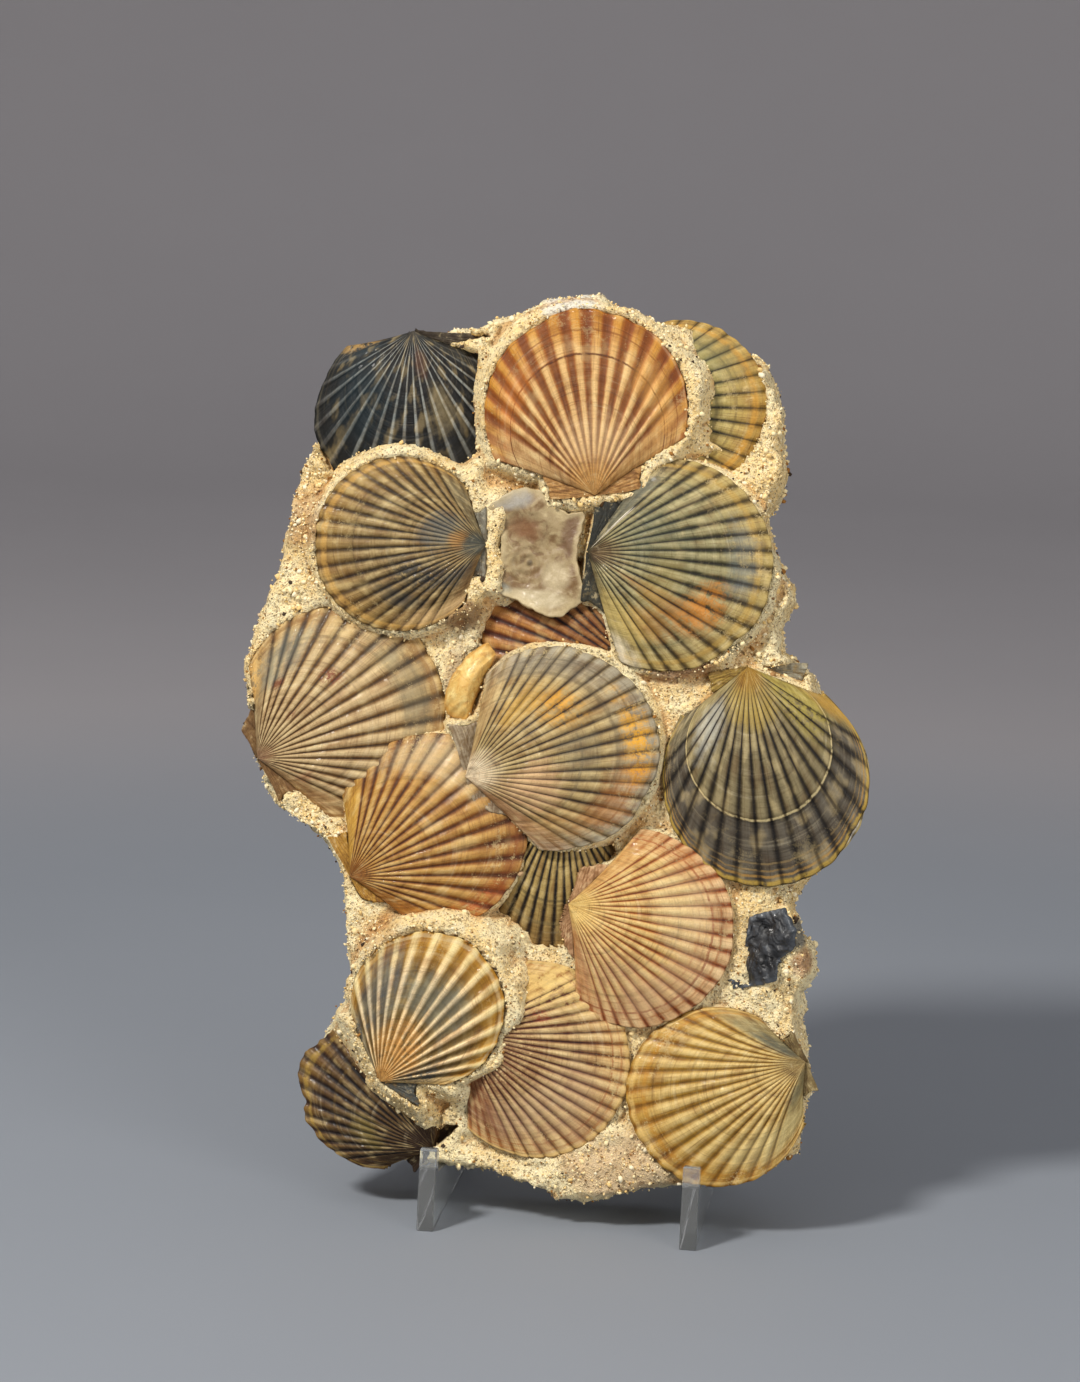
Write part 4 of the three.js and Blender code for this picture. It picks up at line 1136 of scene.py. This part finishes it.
def stain(paint, x, y, wide, high, cloud):
    """A round mask about a place on the slab's face: the squares of the three distances, each
    over its size, are added, and a cloud tears the edge. It stays near the face."""
    middle = to_frame([[x, y, 0.0]])[0]
    sizes = (wide / MM, STAIN_DEPTH, high / MM)
    far = cloud.sway(2.6)
    for part, centre, size in zip(paint.parts(paint.place()), middle, sizes):
        off = (part - centre) / size
        far = far + off * off
    return far.fall(0.2, 1.2)


def add_stains(paint, colour, stains, cloud):
    """Each stain laid over the colour in turn."""
    return paint.layers(colour, [
        (stain(paint, x, y, wide, high, cloud) * strength, code)
        for x, y, wide, high, code, strength in stains])


# %% Rock finish
ROCK_BUMP = 0.0011


def rock_finish():
    """Sand of two tints, then drifts, single grains, stains, and painted shade in the hollows and
    gaps.
    """
    paint = Finish("sandy_rock_finish")
    place = paint.place()
    cloud = paint.noise(place, 55.0, detail=5.0, roughness=0.6)
    mottle = paint.noise(place, 260.0, detail=5.0, roughness=0.65)
    grit = paint.noise(place, 1100.0, detail=4.0, roughness=0.75)
    tone = paint.parts(paint.cells(place, 2000.0, "Color"))[0]
    small = paint.cells(place, 1500.0, "Distance")
    colour = paint.layers(paint.mix(cloud.rise(0.36, 0.64), "fada96", "fff0c0"), [
        (mottle.rise(0.54, 0.72) * 0.4, "d8a860"),
        (mottle.fall(0.3, 0.46) * 0.6, "f8eac0"),
        (tone.rise(0.7, 0.76) * 0.5, "f6ecca"),
        (tone.rise(0.9, 0.94) * 0.5, "b07c38"),
        (tone.fall(0.03, 0.05) * 0.8, "6e4a1e"),
        (grit.rise(0.6, 0.72) * 0.35, "a47844"),
    ])
    colour = add_stains(paint, colour, ROCK_STAINS, cloud)
    # Painted shade: the hollows measured on the mesh and the sunken gaps between grains are
    # darkened with brown.
    hollow = paint.number("hollow") + mottle.sway(1.6)
    gap = (paint.cells(place, 480.0, "Distance") + grit.sway(0.5)).fall(0.12, 0.34)
    colour = paint.layers(colour, [
        (hollow.rise(0.4, 2.0) * 0.55, "cc9c60", "MULTIPLY"),
        (gap * 0.38, "b48c58", "MULTIPLY"),
    ])
    height = grit - gap * 1.3 - small * 0.5 + mottle * 1.4
    return paint.finish(colour, 0.88 + grit.sway(0.15), height, ROCK_BUMP, strength=0.85)


rock.data.materials.append(rock_finish())
print("nodes in the rock's finish:", len(rock.data.materials[0].node_tree.nodes))

# %% [markdown]
# ## Broken pieces of other shells
# Three pieces aren't whole valves. Each is a plate with a broken outline, so its surface runs
# from its middle to its edge along rays, with the outline resampled and roughened. Ripples on
# it follow what the real piece shows: rings on the oyster, ribs on the sliver, layers on the
# dark one.

# %% Fragment surfaces
FRAGMENTS = {
    "oyster_fragment": dict(level=0.6, crown=1.2, outline=[
        (-25.5, 262), (-17.5, 268), (-9, 272), (-3, 269.5), (7, 260.5), (13.5, 262), (10.5, 244),
        (14, 228.5), (4, 221), (-3.5, 223), (-12, 228.5), (-24.5, 232.5), (-19, 244),
        (-18.5, 255)]),
    "pale_shell_sliver": dict(level=1, crown=6, outline=[
        (-23.5, 213.5), (-20, 209), (-21, 206), (-26, 195), (-32, 182), (-36, 182.5),
        (-40.5, 187.5), (-40.5, 192.5), (-38, 200), (-33, 207), (-28.5, 210.5)]),
    "dark_shell_fragment": dict(level=0, crown=2.5, outline=[
        (74.5, 110), (88.5, 113), (93, 105), (92, 97), (86, 93.5), (85, 84.5), (68, 81.5),
        (67.5, 86), (71, 91), (73.5, 103)]),
}
RAY_COUNT, RAY_STEPS = 220, 40
FIRST_STEP, CROWN_POWER = 0.03, 2.2
FRAGMENT_WALL = 1.8


def fragment_surface(piece, relief, seed):
    """The middle plus q times the way to the edge, for q from 0 to 1 round the outline. Height
    is the crown times one less q to the power 2.2, plus the piece's own relief."""
    corners = piece["outline"][::-1]
    edge = along_side(corners + corners[:1], RAY_COUNT + 1)[:-1]
    for _ in range(2):
        edge = edge * 0.5 + (np.roll(edge, 1, 0) + np.roll(edge, -1, 0)) * 0.25
    ragged = lumps(with_height(edge, seed), 3.5, seed, 3) * 0.6 - 0.4
    middle = edge.mean(0)
    outwards = (edge - middle) / np.linalg.norm(edge - middle, axis=1)[:, None]
    edge = edge + outwards * ragged[:, None]
    q = np.linspace(FIRST_STEP, 1, RAY_STEPS)[:, None]
    flat = middle + q[..., None] * (edge - middle)[None]
    crown = piece["crown"] * (1 - q ** CROWN_POWER)
    z = piece["level"] + crown + relief(flat[..., 0], flat[..., 1], q)
    return with_height(flat, z), np.broadcast_to(q, z.shape)


def build_fragment(name, relief, seed):
    """The rays' grid, closed round, with a fan of triangles to the middle."""
    points, q = fragment_surface(FRAGMENTS[name], relief, seed)
    index, faces = ring_faces(RAY_STEPS, RAY_COUNT)
    pole = np.full(RAY_COUNT, index.size)
    faces += np.stack([pole, index[0], np.roll(index[0], -1)], axis=-1).tolist()
    # The middle is the mean of the first ring, closed by its first point again.
    middle = np.vstack([points[0], points[0, :1]]).mean(0)
    points = np.vstack([points.reshape(-1, 3), middle])
    numbers = {"out": np.append(q.ravel(), 0.0)}
    return make_piece(name + "_shell", points, faces, numbers, name, FRAGMENT_WALL)


# %% Relief of each fragment
SCAR = (-8.2, 242.6)
LOBE = (-16, 266)
LAYER_STEP, LAYER_TILT, DARK_MIDDLE = 0.9, 0.14, 80


def oyster_relief(x, y, q):
    """A dish with a lip that turns up towards its corners, a curled lobe at the upper left, a
    low saddle, and rings round a small scar."""
    ring = np.hypot(x - SCAR[0], y - SCAR[1])
    rings = 0.3 * np.cos(ring * 1.9) * np.exp(-ring / 7)
    layers = 1.3 * lumps(np.stack([x, y, 0 * x], axis=-1), 13.0, seed=83, octaves=4)
    lobe = 4.0 * np.exp(-((x - LOBE[0]) ** 2 + (y - LOBE[1]) ** 2) / 80)
    return rings + 1.6 * q ** 3 - 1.2 * np.exp(-ring ** 2 / 160) + layers + lobe


def sliver_relief(x, y, q):
    """Ribs across the sliver's steep right edge."""
    along = 0.66 * x - 0.75 * y
    return 0.35 * np.cos(along * 1.9) * ease_between(0.3, 0.9, q) - 0.5 * q ** 6


def dark_relief(x, y, q):
    """Broken layers: the height is rounded to steps, softened by noise, with torn ribs."""
    level = 2.4 * lumps(np.stack([x, y, 0 * x], axis=-1), 8.0, seed=87, octaves=3)
    level = level + LAYER_TILT * (x - DARK_MIDDLE)
    ribs = 0.25 * np.cos((0.92 * x + 0.4 * y) * 1.5)
    return np.round(level / LAYER_STEP) * 0.75 + 0.3 * level + ribs


print("oyster's relief at its scar:", oyster_relief(*np.array(SCAR)[:, None], 0.0).round(2))

# %% Fragment finishes
OYSTER_STAINS = [
    (-14.4, 267.5, 9, 5, "a8a59c", 0.8), (-9.4, 256, 9, 6, "7c5230", 0.75),
    (9, 254, 5.5, 13, "6c5038", 0.75), (2, 238, 6, 7, "c4b490", 0.7),
    (-7, 229, 16, 4, "c4b692", 0.75), (-7.8, 242.7, 1.6, 1.6, "5c4c34", 0.8),
    (-21, 233, 6, 3, "8c9084", 0.7),
]
FRAGMENT_BUMP = 0.0007


def fragment_finish(name, light, dark, rim_tint, shade, scale, coat=0.1, stains=()):
    """Clouds of two tones, wisps and a rim of a third, and painted brown shade in the wisps'
    hollows.
    """
    paint = Finish(name + "_finish")
    place, out_share = paint.place(), paint.number("out")
    cloud = paint.noise(place, scale, detail=5.0, roughness=0.6)
    mottle = paint.noise(place, scale * 4.0, detail=4.0, roughness=0.6)
    grain = paint.noise(place, 1600.0, detail=3.0, roughness=0.7)
    wisp = paint.noise(place, scale * 2.5, detail=5.0, roughness=0.5, distortion=1.5)
    colour = paint.layers(paint.mix((cloud + mottle.sway(0.4)).rise(0.38, 0.62), dark, light), [
        (wisp.rise(0.55, 0.7) * 0.5, rim_tint),
        # Painted shade where the wisps' bump is low.
        (wisp.fall(0.34, 0.46) * 0.6, shade),
    ])
    colour = paint.layers(add_stains(paint, colour, stains, cloud), [
        ((out_share + cloud.sway(0.3)).rise(0.8, 0.96) * 0.7, rim_tint),
        ((grain - 0.4) * 0.6, "8f7a5c", "MULTIPLY"),
    ])
    height = wisp * 0.8 + grain * 0.3 + mottle * 0.5
    return paint.finish(colour, 0.32 + grain * 0.3, height, FRAGMENT_BUMP, strength=0.7, **{
        "Coat Weight": coat})


for name, relief, seed, looks in [
    ("oyster_fragment", oyster_relief, 95,
     ("9c8862", "765a36", "c0ae84", "6c4c30", 60.0, 0.1, OYSTER_STAINS)),
    ("pale_shell_sliver", sliver_relief, 97, ("f0d68c", "dcb464", "c88f3c", "b07c3c", 90.0)),
    ("dark_shell_fragment", dark_relief, 99,
     ("34363a", "141416", "4d545c", "0c0c0e", 110.0, 0.4)),
]:
    fragment = build_fragment(name, relief, seed)
    fragment.data.materials.append(fragment_finish(name, *looks))
    print(fragment.name, len(fragment.data.polygons), "faces")

# %% [markdown]
# ## Loose sand and crumbs
# From close by, the rock isn't smooth: grains of sand and crumbs of shell stand out of it.
# Thousands of twenty-sided stones would be too many to place by hand, so one small stone is
# copied by arithmetic to random places on the bare rock, each with its own size, turn and tone.

# %% One small stone, and turns
random = np.random.default_rng(20)


def small_stone():
    """The twelve corners and twenty faces of an icosahedron."""
    g = (1 + 5 ** 0.5) / 2
    corners = np.array([(-1, g, 0), (1, g, 0), (-1, -g, 0), (1, -g, 0), (0, -1, g), (0, 1, g),
                        (0, -1, -g), (0, 1, -g), (g, 0, -1), (g, 0, 1), (-g, 0, -1), (-g, 0, 1)])
    faces = np.array([(0, 11, 5), (0, 5, 1), (0, 1, 7), (0, 7, 10), (0, 10, 11), (1, 5, 9),
                      (5, 11, 4), (11, 10, 2), (10, 7, 6), (7, 1, 8), (3, 9, 4), (3, 4, 2),
                      (3, 2, 6), (3, 6, 8), (3, 8, 9), (4, 9, 5), (2, 4, 11), (6, 2, 10),
                      (8, 6, 7), (9, 8, 1)])
    return corners / np.linalg.norm(corners[0]), faces


def random_turns(count):
    """Rotation matrices from random unit quaternions."""
    parts = random.normal(size=(4, count))
    w, x, y, z = parts / np.sqrt((parts * parts).sum(axis=0))
    return np.array([
        [1 - 2 * (y * y + z * z), 2 * (x * y - w * z), 2 * (x * z + w * y)],
        [2 * (x * y + w * z), 1 - 2 * (x * x + z * z), 2 * (y * z - w * x)],
        [2 * (x * z - w * y), 2 * (y * z + w * x), 1 - 2 * (x * x + y * y)],
    ]).transpose(2, 0, 1)


stone, stone_faces = small_stone()
print("stone:", len(stone), "corners,", len(stone_faces), "faces")

# %% Grains on the rock
GRAIN_LEG_GAP, GRAIN_SEAT_GAP = 5, 3
NUDGE = 0.45


def scatter_stones(name, sources, smallest, spread):
    """Stones at random points of each source: the unit stone, roughened, stretched by its own
    three sizes, turned, and moved to its place. Those near the easel's seats are left out."""
    spots = np.concatenate([
        points[random.integers(0, len(points), count)] for points, count in sources])
    spots = spots + random.normal(0, NUDGE, spots.shape) * np.array([1, 1, 0.3])
    seated = to_easel(spots)
    on_seat = near_leg(seated, GRAIN_LEG_GAP) & (seated[:, 1] < SEAT + GRAIN_SEAT_GAP)
    spots = spots[~on_seat]
    count = len(spots)
    sizes = smallest + spread * random.random(count) ** 3
    stretch = sizes[:, None] * random.uniform(0.6, 1.3, (count, 3))
    rough = 1 + 0.2 * random.normal(size=(count, len(stone), 1))
    stones = stone[None] * rough * stretch[:, None, :]
    stones = np.einsum("nij,nkj->nki", random_turns(count), stones) + spots[:, None, :]
    first = len(stone) * np.arange(count)[:, None, None]
    faces = (stone_faces[None] + first).reshape(-1, 3)
    tones = {"tone": np.repeat(random.random(count), len(stone))}
    piece = make_piece(name, stones.reshape(-1, 3), faces, tones)
    print(name, count, "stones")
    return piece


bare_front = front_points.reshape(-1, 3)[front_cover.ravel() == 0]
wall_third = WALL_RINGS // 3
near_wall = wall_points[:wall_third * 2].reshape(-1, 3)
far_wall = wall_points[wall_third:].reshape(-1, 3)
bare_back = back_points.reshape(-1, 3)
sand = scatter_stones("rock_sand", [(bare_front, 6500), (near_wall, 2800)],
                      smallest=0.2, spread=0.4)
crumbs = scatter_stones("rock_crumbs", [
    (bare_front, 1100), (near_wall, 900), (far_wall, 900), (bare_back, 2200)],
    smallest=0.4, spread=0.9)

# %% Grain finish
GRAIN_BUMP = 0.0002


def grain_finish():
    """Each stone takes its colour from its own tone: mostly golden cream, some white, few dark."""
    paint = Finish("grain_finish")
    tone = paint.number("tone")
    grain = paint.noise(paint.place(), 1800.0, detail=2.0)
    colour = paint.layers(paint.mix(tone.rise(0.0, 0.5), "eccb86", "faebbc"), [
        (tone.rise(0.7, 0.75), "faf0d0"),
        (tone.rise(0.86, 0.87), "9c6c2c"),
        (tone.rise(0.95, 0.96), "3c2c1c"),
        (grain * 0.3, "c0a470", "MULTIPLY"),
    ])
    return paint.finish(colour, 0.75 + grain * 0.2, grain, GRAIN_BUMP, strength=0.5)


grain_paint = grain_finish()
for piece in (sand, crumbs):
    piece.data.materials.append(grain_paint)
    print(piece.name, "finished with", grain_paint.name)

# %% [markdown]
# ## The clear easel
# The easel's solids already have their true shape: flat acrylic sheet, sawn and polished. Their
# meshes are loose triangles, so each is copied and merged first, and a narrow Bevel then rounds
# the edges, which is where real acrylic catches the light. The finish is clear transmission with
# faint wipe marks in its gloss.

# %% Acrylic
POLISHED_EDGE = 0.0006
SAME_PLACE, SAME_PLANE = 1e-6, np.radians(1)
CLARITY, ACRYLIC_IOR = 0.88, 1.49
ACRYLIC_BUMP = 0.0001


def acrylic_finish():
    """Clear and glossy, a little duller where it was wiped and where dust lies."""
    paint = Finish("clear_acrylic_finish")
    place = paint.place()
    wipes = paint.noise(place, 60.0, detail=4.0, roughness=0.6)
    dust = paint.noise(place, 1400.0, detail=2.0, roughness=0.7)
    roughness = 0.02 + wipes.rise(0.5, 0.75) * 0.06 + dust.rise(0.62, 0.75) * 0.1
    colour = paint.mix(wipes, "f4f7f8", "e6ecee")
    return paint.finish(colour, roughness, wipes + dust * 0.3, ACRYLIC_BUMP, strength=0.1, **{
        "Transmission Weight": CLARITY, "IOR": ACRYLIC_IOR})


def polished_copy(node, paint):
    """A merged copy of a solid, its flat faces made whole, with a narrow bevel on each edge."""
    work = bmesh.new()
    work.from_mesh(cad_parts[node].data)
    bmesh.ops.remove_doubles(work, verts=work.verts, dist=SAME_PLACE)
    bmesh.ops.dissolve_limit(work, angle_limit=SAME_PLANE, verts=work.verts, edges=work.edges)
    mesh = bpy.data.meshes.new(node + "_clear")
    work.to_mesh(mesh)
    work.free()
    mesh.shade_flat()
    mesh.materials.append(paint)
    piece = link(node + "_clear", mesh)
    edge = piece.modifiers.new("polished_edge", "BEVEL")
    edge.width = POLISHED_EDGE
    edge.segments = 3
    edge.limit_method = "ANGLE"
    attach(piece, "root")
    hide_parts(node)
    return piece


acrylic = acrylic_finish()
for node in ("easel_leg_left", "easel_leg_right", "easel_bar_high", "easel_bar_low"):
    print(node, len(polished_copy(node, acrylic).data.polygons), "faces")

# %% [markdown]
# ## Floor, light and camera
# A plain pale floor sweeps up into a plain wall all round, so no edge shows from any side. The
# paper is a cool grey near the object and a warmer, lighter grey further out. A soft light from
# the upper left models the ribs, and a weaker, broader one from the right opens the shadows. The
# camera looks at the slab from a little to the right and above, and is turned slightly.

# %% Studio sweep
SWEEP_MIDDLE, SWEEP_FLAT, SWEEP_CURVE, SWEEP_HEIGHT = 0.4, 2.2, 1.0, 3.4
SWEEP_SIDES = 96


def studio_sweep():
    """A profile turned about the upright axis: straight out along the floor, a quarter circle
    up, then straight up. The middle is closed by one flat face."""
    quarter = np.linspace(0, np.pi / 2, 13)
    radius = np.concatenate([np.linspace(SWEEP_MIDDLE, SWEEP_FLAT, 5)[:-1],
                             SWEEP_FLAT + SWEEP_CURVE * np.sin(quarter),
                             [SWEEP_FLAT + SWEEP_CURVE]])
    height = np.concatenate([np.zeros(4), SWEEP_CURVE * (1 - np.cos(quarter)), [SWEEP_HEIGHT]])
    turn = np.linspace(0, 2 * np.pi, SWEEP_SIDES + 1)[:-1]
    ring = np.stack([radius[:, None] * np.cos(turn), radius[:, None] * np.sin(turn),
                     height[:, None] + 0 * turn], axis=-1)
    index, faces = ring_faces(*ring.shape[:2])
    faces.append(index[0].tolist())
    mesh = bpy.data.meshes.new("studio_sweep")
    mesh.from_pydata(ring.reshape(-1, 3).tolist(), [], faces)
    mesh.shade_smooth()
    return mesh


def sweep_finish():
    """Two greys for the floor and two for the wall, mixed by the square of the distance from
    the upright axis."""
    paint = Finish("sweep_finish")
    cloud = paint.noise(paint.place(), 3.0)
    x, y, _ = paint.parts(paint.place())
    far = (x * x + y * y).rise(0.25, 1.2)
    wall = paint.mix(cloud, "9a989c", "a09ea2")
    floor = paint.mix(cloud, "80868f", "878d96")
    return paint.finish(paint.mix(far, floor, wall), 0.75)


sweep = link("studio_sweep", studio_sweep())
sweep.data.materials.append(sweep_finish())
print("sweep faces:", len(sweep.data.polygons))

# %% Lights
WARM_WHITE = (1.0, 0.96, 0.9)
LIGHT_AIM = Vector((0, 0, 0.2))
world = bpy.data.worlds.new("studio")
world.use_nodes = True
background = world.node_tree.nodes["Background"]
background.inputs["Color"].default_value = tint("dad8d8")
background.inputs["Strength"].default_value = 0.9
bpy.context.scene.world = world
bpy.context.scene.view_settings.view_transform = "Standard"


def soft_light(name, place, size, power):
    """A round lamp of a width in metres and a power in watts, aimed at the slab."""
    lamp = bpy.data.lights.new(name, "AREA")
    lamp.shape, lamp.size, lamp.energy = "DISK", size, power
    lamp.color = WARM_WHITE
    holder = link(name, lamp)
    holder.location = place
    holder.rotation_euler = (LIGHT_AIM - Vector(place)).to_track_quat("-Z", "Y").to_euler()
    print(name, "light:", power, "watts")


soft_light("key", (-0.85, -1.15, 1.55), 0.35, 41.0)
soft_light("fill", (1.2, -1.3, 0.6), 1.0, 14.0)

# %% Camera
AZIMUTH, ELEVATION, ROLL, DISTANCE = np.radians(7), np.radians(10), np.radians(2), 1.5
LENS = 103.6
AIM_ON_SLAB = np.array([-14.9, 193.5, 0])
camera_data = bpy.data.cameras.new("camera")
camera_data.lens = LENS
camera = link("camera", camera_data)
target = Vector(((AIM_ON_SLAB @ EASEL_AXES + EASEL_ORIGIN) / MM).tolist())
towards = Vector((np.sin(AZIMUTH) * np.cos(ELEVATION), -np.cos(AZIMUTH) * np.cos(ELEVATION),
                  np.sin(ELEVATION)))
camera.location = target + towards * DISTANCE
upright = towards.to_track_quat("Z", "Y")
camera.rotation_euler = (upright @ Quaternion((0, 0, 1), ROLL)).to_euler()
bpy.context.scene.camera = camera
print("camera at", [round(v, 3) for v in camera.location])
